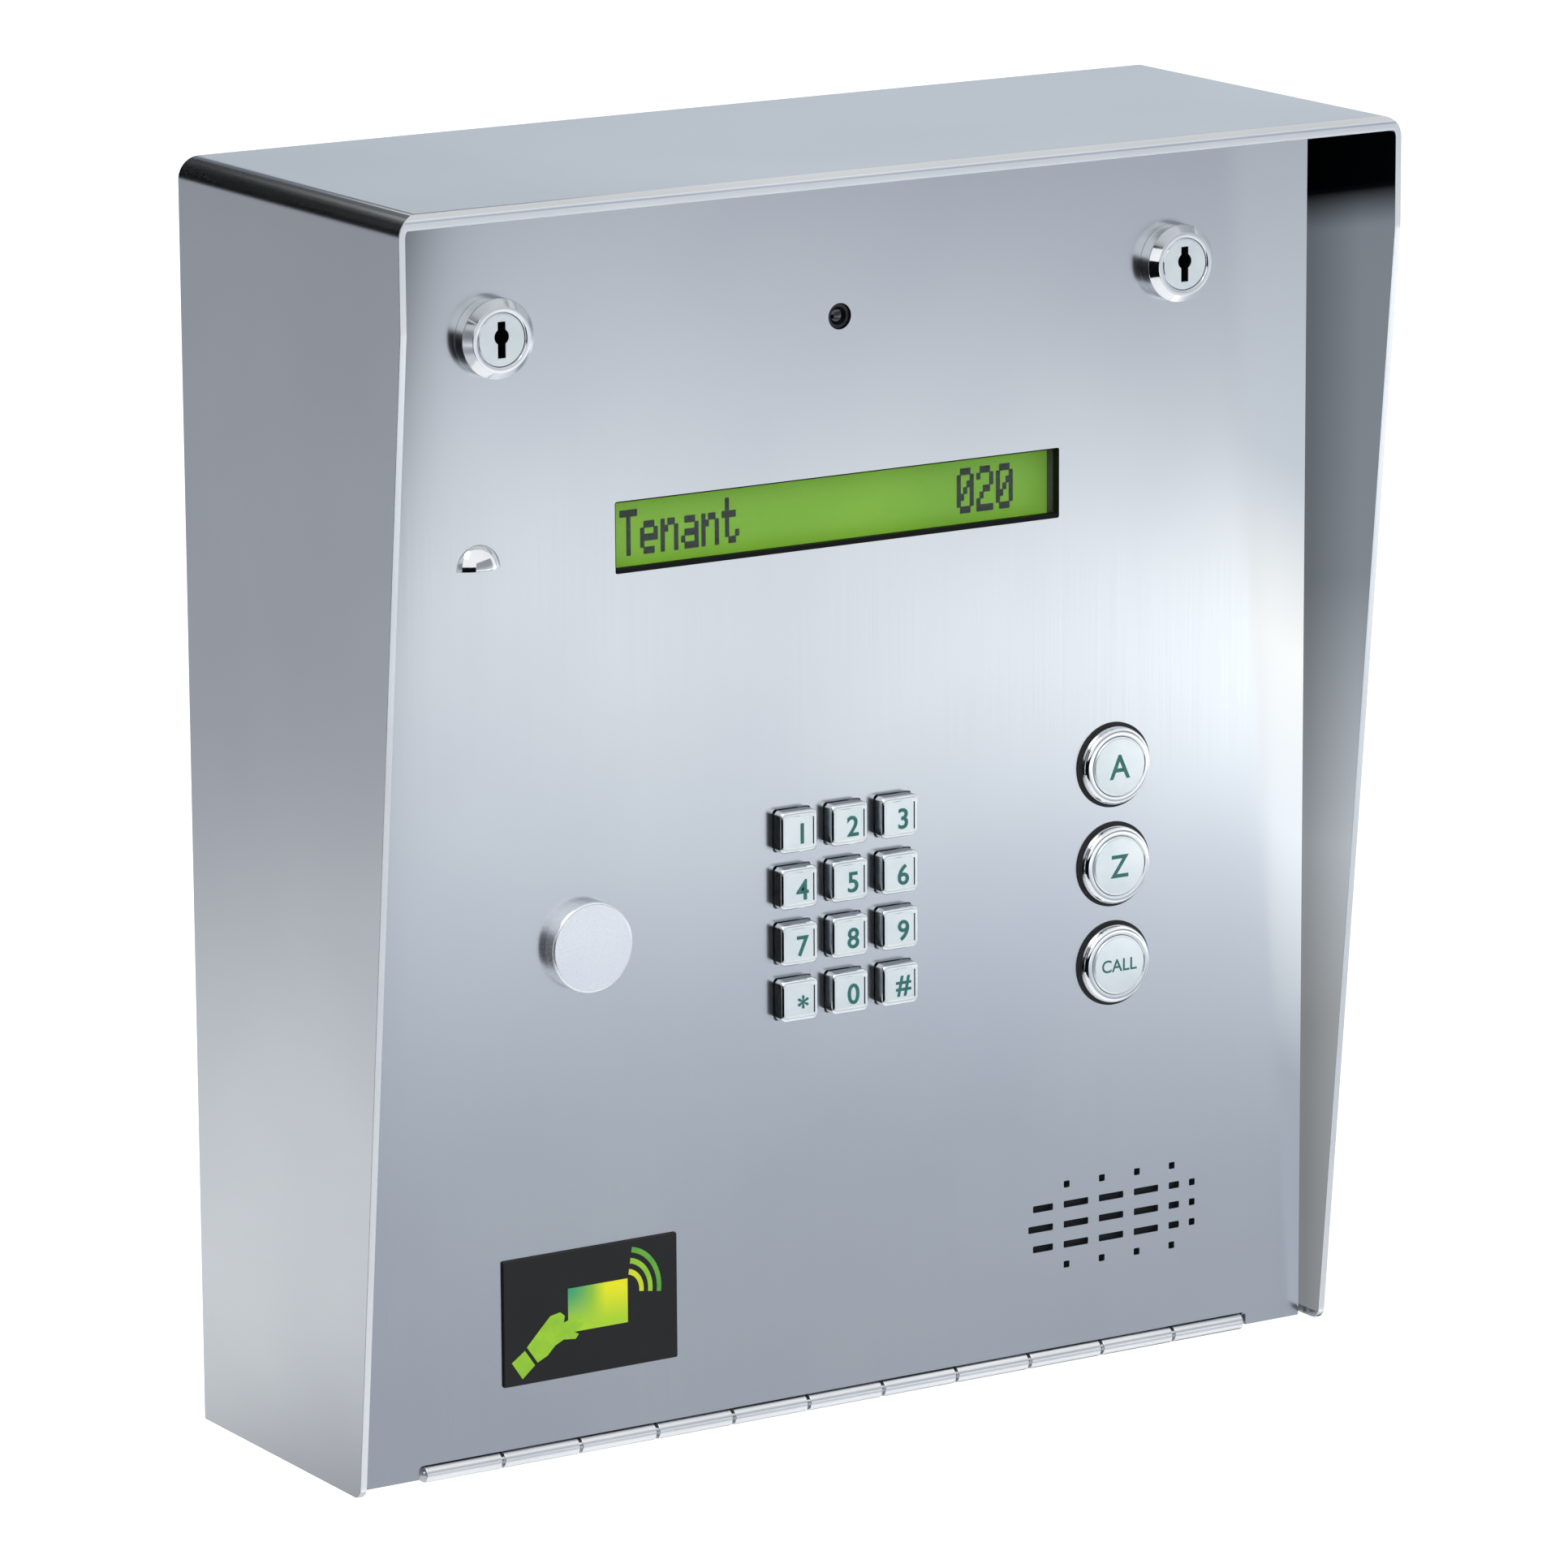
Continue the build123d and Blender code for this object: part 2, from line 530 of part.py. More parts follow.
def make_lock_cam(x, towards):
    """Flat cam and its nut on the plug's tail; at rest it points at the middle of the door."""
    y = (CAM_FRONT, CAM_FRONT + CAM)
    reach = CAM_LENGTH - CAM_WIDTH / 2
    arm = block(sorted((x, x + towards * reach)), y, span(LOCK_Z, CAM_WIDTH))
    cam = arm + rod(x, LOCK_Z, CAM_WIDTH / 2, y) + rod(x + towards * reach, LOCK_Z, CAM_WIDTH / 2, y)
    cam -= block(span(x, TAIL + 2 * TIGHT_FIT), (y[0] - 1, y[1] + 1), span(LOCK_Z, TAIL + 2 * TIGHT_FIT))
    flats, thick = CAM_NUT
    nut = hexagon(x, LOCK_Z, flats, TAIL / 2 - 0.5 + TIGHT_FIT, (y[1], y[1] + thick))
    return Compound([cam, nut])


def make_lock_cover():
    """Round cover that closes the hole for a third lock."""
    cap = rod(LEFT_X, CONTROL_Z, COVER_RADIUS, (FACE - COVER_PROUD, FACE))
    cap = front_edges(cap, COVER_ROUND)
    return cap + rod(LEFT_X, CONTROL_Z, LOCK_BARREL_RADIUS, (FACE, FACE + COVER_STEM))


# --- Camera, microphone ------------------------------------------------------------------------
def make_camera_module():
    """Pinhole camera: barrel in the door's hole, block and board behind."""
    front = FACE + CAMERA_RECESS
    pocket_radius, pocket_depth = CAMERA_POCKET
    body = rod(0, CAMERA_Z, CAMERA_HOLE_RADIUS - STUD_GAP, (front, CAMERA_BOARD_FRONT))
    body += tile((CAMERA_BLOCK, CAMERA_BLOCK), 1, (INNER + 1, CAMERA_BOARD_FRONT), 0, CAMERA_Z)
    body -= rod(0, CAMERA_Z, pocket_radius, (front - 1, front + pocket_depth))
    rear = CAMERA_BOARD_FRONT + BOARD_THICK
    board = tile(CAMERA_BOARD, 2, (CAMERA_BOARD_FRONT, rear), 0, CAMERA_Z)
    body += clear_studs(board, (CAMERA_BOARD_FRONT - 1, rear + 1))
    return body + tile(CAMERA_REAR[:2], 1, (rear, rear + CAMERA_REAR[2]), 0, CAMERA_Z)


def make_microphone_hood():
    """Half-dome louvre, open below, over the microphone's hole."""
    ball = (LOUVRE_RADIUS**2 + LOUVRE_PROUD**2) / (2 * LOUVRE_PROUD)
    centre = FACE + ball - LOUVRE_PROUD
    front = along_y(half_disc(2 * ball), (FACE - LOUVRE_PROUD - 1, FACE), LOUVRE_X, LOUVRE_Z)
    dome = Pos(LOUVRE_X, centre, LOUVRE_Z) * (Sphere(ball) - Sphere(ball - LOUVRE_WALL)) & front
    inner = half_disc(LOUVRE_RADIUS - LOUVRE_WALL)
    neck = along_y(half_disc(LOUVRE_RADIUS) - inner, (FACE, INNER), LOUVRE_X, LOUVRE_Z)
    ring = Circle(LOUVRE_RADIUS + 3) - inner
    flange = along_y(ring, (INNER, INNER + 1), LOUVRE_X, LOUVRE_Z)
    return dome + neck + flange


def microphone_bore():
    """Y span of the capsule inside its boot."""
    front = INNER + 1 + BOOT_WALL
    return (front, front + CAPSULE)


def make_microphone_boot():
    """Rubber boot behind the louvre."""
    z = LOUVRE_Z + CAPSULE_RADIUS / 2
    y = microphone_bore()
    boot = rod(LOUVRE_X, z, CAPSULE_RADIUS + BOOT_WALL, (INNER + 1, y[1]))
    boot -= rod(LOUVRE_X, z, CAPSULE_RADIUS + TIGHT_FIT, (y[0], y[1] + 1))
    return boot - rod(LOUVRE_X, z, 2.0, (INNER, y[0] + 1))


def make_microphone():
    """Electret capsule."""
    return rod(LOUVRE_X, LOUVRE_Z + CAPSULE_RADIUS / 2, CAPSULE_RADIUS, microphone_bore())


# --- Display -----------------------------------------------------------------------------------
def make_display_window():
    """Clear window against the inside of the door."""
    return tile(DISPLAY_SIZE, 1, (INNER, GASKET_FRONT), 0, DISPLAY_Z)


def make_display_gasket():
    """Black frame between the window and the display."""
    ring = RectangleRounded(*DISPLAY_SIZE, 1)
    inner = [size + 2 * GASKET_SLACK for size in DISPLAY_OPENING]
    ring -= RectangleRounded(*inner, 0.6)
    return along_y(ring, (GASKET_FRONT, MODULE_FRONT), 0, DISPLAY_Z)


def make_display_module():
    """Display block with a raised rim around its viewing area."""
    width, height = DISPLAY_RIM
    module = tile(DISPLAY_SIZE, 1, (MODULE_FRONT, DISPLAY_BOARD_FRONT), 0, DISPLAY_Z)
    view = [size - 2 * width for size in DISPLAY_SIZE]
    return module - tile(view, 0.6, (MODULE_FRONT - 1, MODULE_FRONT + height), 0, DISPLAY_Z)


def make_display_board():
    """Circuit board behind the display, on four studs."""
    y = (DISPLAY_BOARD_FRONT, DISPLAY_BOARD_FRONT + BOARD_THICK)
    return clear_studs(tile(DISPLAY_BOARD, 2, y, 0, DISPLAY_Z), (y[0] - 1, y[1] + 1))


# --- Keypad ------------------------------------------------------------------------------------
def make_keypad_frame():
    """Moulded frame with one pocket for each key's flange."""
    y = (INNER, MAT_FRONT)
    frame = clear_studs(tile(KEYPAD_SIZE, 3, y, 0, CONTROL_Z), (y[0] - 1, y[1] + 1))
    grow = 2 * (KEY_FLANGE + KEY_GAP)
    for _, x, z in key_places():
        frame -= tile((KEY[0] + grow, KEY[1] + grow), 1, (y[0] - 1, y[1] + 1), x, z)
    return frame


def make_keypad_mat():
    """Silicone mat with a dome behind each key."""
    size = [size - 2 * MAT_INSET for size in KEYPAD_SIZE]
    mat = tile(size, 2, (MAT_FRONT, KEYPAD_BOARD_FRONT), 0, CONTROL_Z)
    dome_top = KEY_FOOT_END + KEY_TRAVEL + SOFT_GAP
    for _, x, z in key_places():
        mat += rod(x, z, DOME_RADIUS, (dome_top, KEYPAD_BOARD_FRONT))
    return mat


def make_keypad_board():
    """Contact board behind the mat."""
    y = (KEYPAD_BOARD_FRONT, KEYPAD_BOARD_FRONT + BOARD_THICK)
    return clear_studs(tile(KEYPAD_SIZE, 3, y, 0, CONTROL_Z), (y[0] - 1, y[1] + 1))


def make_key(x, z):
    """Plated key: square button, stop flange behind the door, and a foot over its dome."""
    front = FACE - KEY_PROUD
    back = INNER + KEY_REST_GAP
    key = tile(KEY, 0.8, (front, back + 0.5), x, z)
    key = front_edges(key, KEY_ROUND)
    size = (KEY[0] + 2 * KEY_FLANGE, KEY[1] + 2 * KEY_FLANGE)
    key += tile(size, 1, (back, back + KEY_FLANGE_THICK), x, z)
    return key + rod(x, z, 2.0, (back, KEY_FOOT_END))


# --- Round buttons -----------------------------------------------------------------------------
def make_button_bodies():
    """Three sloping bezels with threaded barrels."""
    bodies = []
    front = FACE - BEZEL_PROUD
    cavity = FACE - BEZEL_PROUD - CAP_PROUD + CAP_THICK + CAP_TRAVEL + 0.4
    for _, x, z in button_places():
        base = rod(x, z, BEZEL_RADIUS, (front, FACE))
        slope = BEZEL_RADIUS - BEZEL_FRONT
        bezel = chamfer(base.faces().sort_by(Axis.Y)[0].edges(), slope)
        body = bezel + rod(x, z, BUTTON_BARREL_RADIUS, (FACE, BUTTON_END))
        body -= rod(x, z, CAP_RADIUS + RUN_FIT, (front - 1, cavity))
        bodies.append(body - rod(x, z, STEM_RADIUS + RUN_FIT, (front, BUTTON_END + 1)))
    return Compound(bodies)


def make_button_nuts():
    """Nuts that clamp the three bezels."""
    y = (INNER, INNER + BUTTON_NUT_THICK)
    bore = BUTTON_BARREL_RADIUS + TIGHT_FIT
    return Compound([hexagon(x, z, BUTTON_NUT, bore, y) for _, x, z in button_places()])


def make_button_switches():
    """Switch blocks on the rear of the barrels, each recessed for its stem, with two tabs."""
    radius, length = SWITCH
    blocks = []
    for _, x, z in button_places():
        switch = rod(x, z, radius, (BUTTON_END, BUTTON_END + length))
        switch -= rod(x, z, STEM_RADIUS + STUD_GAP, (BUTTON_END - 1, BUTTON_END + 2 * CAP_TRAVEL + 1))
        for i in (-1, 1):
            switch += block(span(x + i * 4, 0.8), (BUTTON_END + length - 1, BUTTON_END + length + 6), span(z, 4.8))
        blocks.append(switch)
    return Compound(blocks)


def make_button(x, z):
    """Push cap with its stem."""
    front = FACE - BEZEL_PROUD - CAP_PROUD
    cap = front_edges(rod(x, z, CAP_RADIUS, (front, front + CAP_THICK)), 0.6)
    return cap + rod(x, z, STEM_RADIUS, (front + CAP_THICK, BUTTON_END + CAP_TRAVEL))


# --- Speaker and card reader -------------------------------------------------------------------
def make_speaker_screen():
    """Fine weather screen between the grille and the speaker."""
    size = [SPEAKER_TUB[i] + 2 * SPEAKER_SCREEN[i] for i in (0, 1)]
    return tile(size, 3, (INNER, INNER + SPEAKER_SCREEN[2]), RIGHT_X, LOWER_Z)


def make_speaker_basket():
    """Pressed plate and tub that hold the cone and magnet."""
    front = INNER + SPEAKER_SCREEN[2]
    plate = tile(SPEAKER_SIZE, 4, (front, SPEAKER_BACK), RIGHT_X, LOWER_Z)
    plate = clear_studs(plate, (front - 1, SPEAKER_BACK + 1))
    width, height, depth = SPEAKER_TUB
    corner = height / 2 - 0.1
    wall = SPEAKER_WALL
    tub = tile((width, height), corner, (SPEAKER_BACK, front + depth), RIGHT_X, LOWER_Z)
    hollow = (front - 1, front + depth - wall)
    basket = plate + tub - tile((width - 2 * wall, height - 2 * wall), corner - wall, hollow, RIGHT_X, LOWER_Z)
    return basket - rod(RIGHT_X, LOWER_Z, MAGNET[0] / 2, (front, front + depth + 1))


def make_speaker_cone():
    """Oval cone that narrows to the voice coil."""
    front = INNER + SPEAKER_SCREEN[2] + SOFT_GAP
    back = INNER + SPEAKER_SCREEN[2] + SPEAKER_TUB[2] - SPEAKER_WALL - SOFT_GAP
    half = (SPEAKER_TUB[0] / 2 - SPEAKER_WALL - SOFT_GAP, SPEAKER_TUB[1] / 2 - SPEAKER_WALL - SOFT_GAP)
    coil = MAGNET[0] / 2 - 1

    def horn(inset):
        wide = Plane((RIGHT_X, front, LOWER_Z), x_dir=(1, 0, 0), z_dir=(0, -1, 0))
        narrow = Plane((RIGHT_X, back, LOWER_Z), x_dir=(1, 0, 0), z_dir=(0, -1, 0))
        ends = [wide * Ellipse(half[0] - inset, half[1] - inset), narrow * Circle(coil - inset)]
        return loft(Sketch() + ends)

    bridge = rod(RIGHT_X, LOWER_Z, coil, (back - 1, back + SOFT_GAP + SPEAKER_WALL))
    return horn(0) - horn(1.0) + bridge


def make_speaker_magnet():
    """Ring magnet behind the basket."""
    front = INNER + SPEAKER_SCREEN[2] + SPEAKER_TUB[2]
    return rod(RIGHT_X, LOWER_Z, MAGNET[0], (front, front + MAGNET[1]))


def make_reader_window():
    """Dark reading face, slightly proud of the door, with a ledge behind."""
    size = (READER_WINDOW[0] - STUD_GAP, READER_WINDOW[1] - STUD_GAP)
    window = front_edges(tile(size, 0.5, (FACE - READER_PROUD, INNER), LEFT_X, LOWER_Z), 0.3)
    return window + tile(READER_SIZE, 2, (INNER, INNER + THIN_SHEET), LEFT_X, LOWER_Z)


def make_reader_module():
    """Potted reader with two fixing ears."""
    module = tile(READER_SIZE, 2, (INNER + THIN_SHEET, READER_BACK), LEFT_X, LOWER_Z)
    ear_size = (READER_SIZE[0] + 2 * READER_EAR, READER_EAR + 2)
    ears = tile(ear_size, 2, (READER_BACK - 2, READER_BACK), LEFT_X, LOWER_Z)
    return module + clear_studs(ears, (READER_BACK - 3, READER_BACK + 1))


# --- Main circuit board ------------------------------------------------------------------------
def post_places():
    """Snap posts near the board's corners."""
    return four(0, BOARD_Z, BOARD[0] / 2 - 7, BOARD[1] / 2 - 7)


def make_main_board():
    """Control board on the back plate."""
    board = tile(BOARD[:2], 3, (BOARD_FRONT, BOARD_BACK), 0, BOARD_Z)
    for x, z in post_places():
        board -= rod(x, z, POST_SNAP + STUD_GAP, (BOARD_FRONT - 1, BOARD_BACK + 1))
    return board


def make_board_posts():
    """Four nylon snap posts."""
    posts = []
    for x, z in post_places():
        post = rod(x, z, POST[0], (BOARD_BACK, PLATE_FRONT))
        post += rod(x, z, POST_SNAP, (BOARD_FRONT, BOARD_BACK))
        posts.append(post + rod(x, z, POST_SNAP + 0.8, (BOARD_FRONT - 2, BOARD_FRONT)))
    return Compound(posts)


def make_terminal_blocks():
    """Two pluggable terminal strips with a wire entry and a screw pocket at each way."""
    width, height, depth = TERMINAL
    z = BOARD_Z - BOARD[1] / 2 + height / 2 + 3
    strips = []
    for x in (-BOARD[0] / 2 + 16 + width / 2, BOARD[0] / 2 - 16 - width / 2):
        strip = block(span(x, width), (BOARD_FRONT - depth, BOARD_FRONT), span(z, height))
        pitch = width / TERMINAL_WAYS
        for i in range(TERMINAL_WAYS):
            centre = x - width / 2 + (i + 0.5) * pitch
            entry = span(BOARD_FRONT - depth / 2, depth / 2)
            strip -= block(span(centre, pitch * 0.6), entry, (z - height / 2 - 1, z - height / 4))
            strip -= rod(centre, z + 1, pitch * 0.3, (BOARD_FRONT - depth - 1, BOARD_FRONT - depth + 2))
        strips.append(strip)
    return Compound(strips)


def make_relays():
    """Three door-release relays."""
    width, height, depth = RELAY
    z = BOARD_Z - BOARD[1] / 2 + TERMINAL[1] + height / 2 + 10
    relays = []
    for i in range(3):
        x = BOARD[0] / 2 - 22 - width / 2 - i * (width + 6)
        relays.append(tile((width, height), 0.8, (BOARD_FRONT - depth, BOARD_FRONT), x, z))
    return Compound(relays)


def make_board_chips():
    """Processor, memory and line chips."""
    chips = []
    for x, z, width, height in ((-20, 12, 26, 26), (22, 18, 14, 18), (-60, 18, 12, 20), (-60, -14, 16, 10)):
        y = (BOARD_FRONT - 2.4, BOARD_FRONT)
        chips.append(block(span(x, width), y, span(BOARD_Z + z, height)))
    return Compound(chips)


def make_board_capacitors():
    """Upright electrolytic capacitors of the power supply."""
    radius, length = CAPACITOR
    cans = []
    for i in range(4):
        x = BOARD[0] / 2 - 20 - i * (2 * radius + 3)
        can = rod(x, BOARD_Z + BOARD[1] / 2 - 22, radius, (BOARD_FRONT - length, BOARD_FRONT))
        cans.append(front_edges(can, 0.8))
    return Compound(cans)


def build_nodes():
    """Every named sub-part of the panel."""
    nodes = {
        "housing_shell": make_housing_shell(),
        "back_plate": make_back_plate(),
        "bottom_panel": make_bottom_panel(),
        "door_frame": make_door_frame(),
        "door_gasket": make_door_gasket(),
        "wiring_grommet": make_grommet(),
        "earth_stud": make_earth_stud(),
        "hinge_body_leaf": make_hinge_body_leaf(),
        "hinge_door_leaf": make_hinge_door_leaf(),
        "hinge_pin": make_hinge_pin(),
        "main_board": make_main_board(),
        "board_posts": make_board_posts(),
        "terminal_blocks": make_terminal_blocks(),
        "relays": make_relays(),
        "board_chips": make_board_chips(),
        "board_capacitors": make_board_capacitors(),
        "door_panel": make_door_panel(),
        "door_studs": make_door_studs(),
        "lock_bodies": make_lock_bodies(),
        "lock_nuts": make_lock_nuts(),
        "lock_cover": make_lock_cover(),
        "camera_module": make_camera_module(),
        "microphone_hood": make_microphone_hood(),
        "microphone_boot": make_microphone_boot(),
        "microphone": make_microphone(),
        "display_window": make_display_window(),
        "display_gasket": make_display_gasket(),
        "display_module": make_display_module(),
        "display_board": make_display_board(),
        "keypad_frame": make_keypad_frame(),
        "keypad_mat": make_keypad_mat(),
        "keypad_board": make_keypad_board(),
        "button_bodies": make_button_bodies(),
        "button_nuts": make_button_nuts(),
        "button_switches": make_button_switches(),
        "speaker_screen": make_speaker_screen(),
        "speaker_basket": make_speaker_basket(),
        "speaker_cone": make_speaker_cone(),
        "speaker_magnet": make_speaker_magnet(),
        "reader_window": make_reader_window(),
        "reader_module": make_reader_module(),
    }
    for name, x, towards in (("left", -LOCK_X, 1), ("right", LOCK_X, -1)):
        nodes[f"lock_plug_{name}"] = make_lock_plug(x)
        nodes[f"lock_cam_{name}"] = make_lock_cam(x, towards)
    for name, x, z in key_places():
        nodes[f"key_{name}"] = make_key(x, z)
    for name, x, z in button_places():
        nodes[f"button_{name}"] = make_button(x, z)
    return nodes


os.makedirs("parts", exist_ok=True)
for node, shape in build_nodes().items():
    export_step(shape, f"parts/{node}.step")
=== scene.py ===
import json
import logging
import math
from collections.abc import Callable, Iterator, Sequence
from contextlib import contextmanager
from dataclasses import dataclass, field
from enum import Enum

import bmesh
import bpy
from mathutils import Matrix, Vector

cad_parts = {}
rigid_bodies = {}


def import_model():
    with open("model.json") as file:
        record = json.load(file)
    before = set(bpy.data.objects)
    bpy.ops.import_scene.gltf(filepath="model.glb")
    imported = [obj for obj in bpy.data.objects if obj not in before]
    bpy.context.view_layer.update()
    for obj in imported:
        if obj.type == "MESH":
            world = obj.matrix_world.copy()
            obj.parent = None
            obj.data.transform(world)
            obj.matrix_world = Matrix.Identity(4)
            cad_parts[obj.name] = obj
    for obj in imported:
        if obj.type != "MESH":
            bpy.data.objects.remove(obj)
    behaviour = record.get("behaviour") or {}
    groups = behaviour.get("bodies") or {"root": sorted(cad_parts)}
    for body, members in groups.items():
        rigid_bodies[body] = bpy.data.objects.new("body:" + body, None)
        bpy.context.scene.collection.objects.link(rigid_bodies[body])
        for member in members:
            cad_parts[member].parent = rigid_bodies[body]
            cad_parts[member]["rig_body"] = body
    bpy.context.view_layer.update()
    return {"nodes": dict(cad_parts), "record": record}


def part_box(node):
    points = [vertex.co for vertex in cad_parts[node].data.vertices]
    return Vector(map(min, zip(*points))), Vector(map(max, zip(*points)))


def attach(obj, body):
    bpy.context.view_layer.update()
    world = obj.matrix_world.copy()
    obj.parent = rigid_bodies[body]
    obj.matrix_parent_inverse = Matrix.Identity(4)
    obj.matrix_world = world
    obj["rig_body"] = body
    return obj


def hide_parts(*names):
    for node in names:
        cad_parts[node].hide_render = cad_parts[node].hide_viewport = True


# Looks of a wall-mounted telephone entry panel: stainless housing with a rain hood, drop-down door,
# cam locks, keypad, round buttons, lit display, loudspeaker and card reader.
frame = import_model()
NODES = frame["nodes"]
SLOT_OF = {part["node"]: part["material_slot"] for part in frame["record"]["subparts"]}
KEY_NAMES = ("1", "2", "3", "4", "5", "6", "7", "8", "9", "star", "0", "hash")
BUTTON_NAMES = ("a", "z", "call")
MM = 0.001
FINE_EDGE = 0.1  # rounding of small machined and moulded edges, mm
SHEET_EDGE = 0.12  # rounding of deburred sheet edges, mm
SOFT_EDGE = 0.15  # rounding of cast and moulded edges, mm
log = logging.getLogger("entry_panel")


class Brush(Enum):
    """How a sheet was brushed: the size of its scratches along X, Y and Z, in millimetres."""

    UPRIGHT = (0.45, 0.45, 60.0)
    FRONT_TO_BACK = (0.45, 60.0, 0.45)
    SIDEWAYS = (60.0, 0.45, 0.45)
    ROUND = (0.5, 0.5, 0.5)


def linear(colour: str) -> tuple[float, float, float, float]:
    """Turns an sRGB hex colour to linear light.

    Args:
        colour: Six hex digits, as in "#A0B0C0".

    Returns:
        Red, green, blue and alpha, linear.
    """
    parts = [int(colour[i : i + 2], 16) / 255 for i in (1, 3, 5)]
    red, green, blue = (p / 12.92 if p <= 0.04045 else ((p + 0.055) / 1.055) ** 2.4 for p in parts)
    return (red, green, blue, 1.0)


def middle(node: str) -> Vector:
    """Centre of a CAD node's box, in metres."""
    low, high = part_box(node)
    return (low + high) / 2


# --- Materials -------------------------------------------------------------------------------------
def add(
    tree: bpy.types.NodeTree, kind: str, sockets: dict, stops: Sequence[tuple] = (), **attributes: object
) -> bpy.types.Node:
    """Adds a node with its settings and links.

    Args:
        tree: The node tree.
        kind: The node's type name.
        sockets: Input name or index, with a number, a colour or the output that feeds it.
        stops: For a colour ramp: place from 0 to 1, sRGB hex, and a gain that multiplies it.
        attributes: The node's own settings.

    Returns:
        The new node.
    """
    made = tree.nodes.new(kind)
    for name, value in attributes.items():
        setattr(made, name, value)
    for name, value in sockets.items():
        if isinstance(value, bpy.types.NodeSocket):
            tree.links.new(value, made.inputs[name])
        else:
            made.inputs[name].default_value = value
    for i, (place, colour, gain) in enumerate(stops):
        elements = made.color_ramp.elements
        element = elements[i] if i < 2 else elements.new(place)
        element.position = place
        element.color = (*(c * gain for c in linear(colour)[:3]), 1.0)
    return made


def blank_material(name: str) -> bpy.types.Material:
    """Makes a material with an empty node tree."""
    made = bpy.data.materials.new(name)
    made.use_nodes = True
    made.node_tree.nodes.clear()
    return made


@dataclass(frozen=True)
class Finish:
    """A real surface: its colours, gloss and the texture that its making leaves."""

    name: str
    colour: str
    tint: str  # the colour that slow variation reaches
    roughness: float
    spread: float  # how far the roughness wanders to either side
    grain: tuple[float, float, float]  # size of the texture along X, Y and Z, mm
    relief: float  # height of the texture, mm
    metallic: float = 0.0
    patch: float = 35.0  # size of the slow variation, mm
    coat: float = 0.0
    alpha: float = 1.0
    glow: float = 0.0
    ior: float = 1.5

    def height(self, tree: bpy.types.NodeTree, place: bpy.types.NodeSocket) -> bpy.types.NodeSocket:
        """Height of the fine texture.

        Args:
            tree: The material's node tree.
            place: Object coordinates.

        Returns:
            The height, 0 to 1.
        """
        scaled = add(tree, "ShaderNodeMapping", {"Vector": place, "Scale": [1 / (g * MM) for g in self.grain]})
        noise = {"Vector": scaled.outputs[0], "Scale": 1.0, "Detail": 3.0, "Roughness": 0.6}
        return add(tree, "ShaderNodeTexNoise", noise).outputs["Fac"]

    def paint(self, tree: bpy.types.NodeTree, place: bpy.types.NodeSocket) -> bpy.types.NodeSocket:
        """Colour all over the surface, with its slow variation.

        Args:
            tree: The material's node tree.
            place: Object coordinates.

        Returns:
            The colour.
        """
        noise = {"Vector": place, "Scale": 1 / (self.patch * MM), "Detail": 2.0}
        slow = add(tree, "ShaderNodeTexNoise", noise)
        stops = [(0.3, self.colour, 1), (0.7, self.tint, 1)]
        return add(tree, "ShaderNodeValToRGB", {"Fac": slow.outputs["Fac"]}, stops).outputs["Color"]

    def build(self) -> bpy.types.Material:
        """Makes the material.

        Returns:
            The Blender material, procedural throughout.
        """
        made = blank_material(self.name)
        tree = made.node_tree
        place = add(tree, "ShaderNodeTexCoord", {}).outputs["Object"]
        height = self.height(tree, place)
        rough = {
            "Value": height,
            "From Min": 0.3,
            "From Max": 0.7,
            "To Min": max(0.02, self.roughness - self.spread),
            "To Max": self.roughness + self.spread,
        }
        bump = {"Strength": 1.0, "Distance": self.relief * MM, "Height": height}
        colour = self.paint(tree, place)
        sockets = {
            "Base Color": colour,
            "Metallic": self.metallic,
            "Roughness": add(tree, "ShaderNodeMapRange", rough).outputs[0],
            "IOR": self.ior,
            "Alpha": self.alpha,
            "Coat Weight": self.coat,
            "Coat Roughness": 0.05,
            "Normal": add(tree, "ShaderNodeBump", bump).outputs[0],
        }
        if self.glow:
            sockets |= {"Emission Color": colour, "Emission Strength": self.glow}
        shader = add(tree, "ShaderNodeBsdfPrincipled", sockets)
        add(tree, "ShaderNodeOutputMaterial", {"Surface": shader.outputs[0]})
        return made


@dataclass(frozen=True)
class Woven(Finish):
    """A plain weave of round threads, as coarse as the grain's first size."""

    def height(self, tree: bpy.types.NodeTree, place: bpy.types.NodeSocket) -> bpy.types.NodeSocket:
        """Threads one way over threads the other way.

        Args:
            tree: The material's node tree.
            place: Object coordinates.

        Returns:
            The height, 0 to 1.
        """
        waves = []
        for direction in ("X", "Z"):
            settings = {"Vector": place, "Scale": 1 / (self.grain[0] * MM * 2), "Distortion": 0.4}
            wave = add(tree, "ShaderNodeTexWave", settings, bands_direction=direction)
            waves.append(wave.outputs["Fac"])
        return add(tree, "ShaderNodeMath", {0: waves[0], 1: waves[1]}, operation="MAXIMUM").outputs[0]


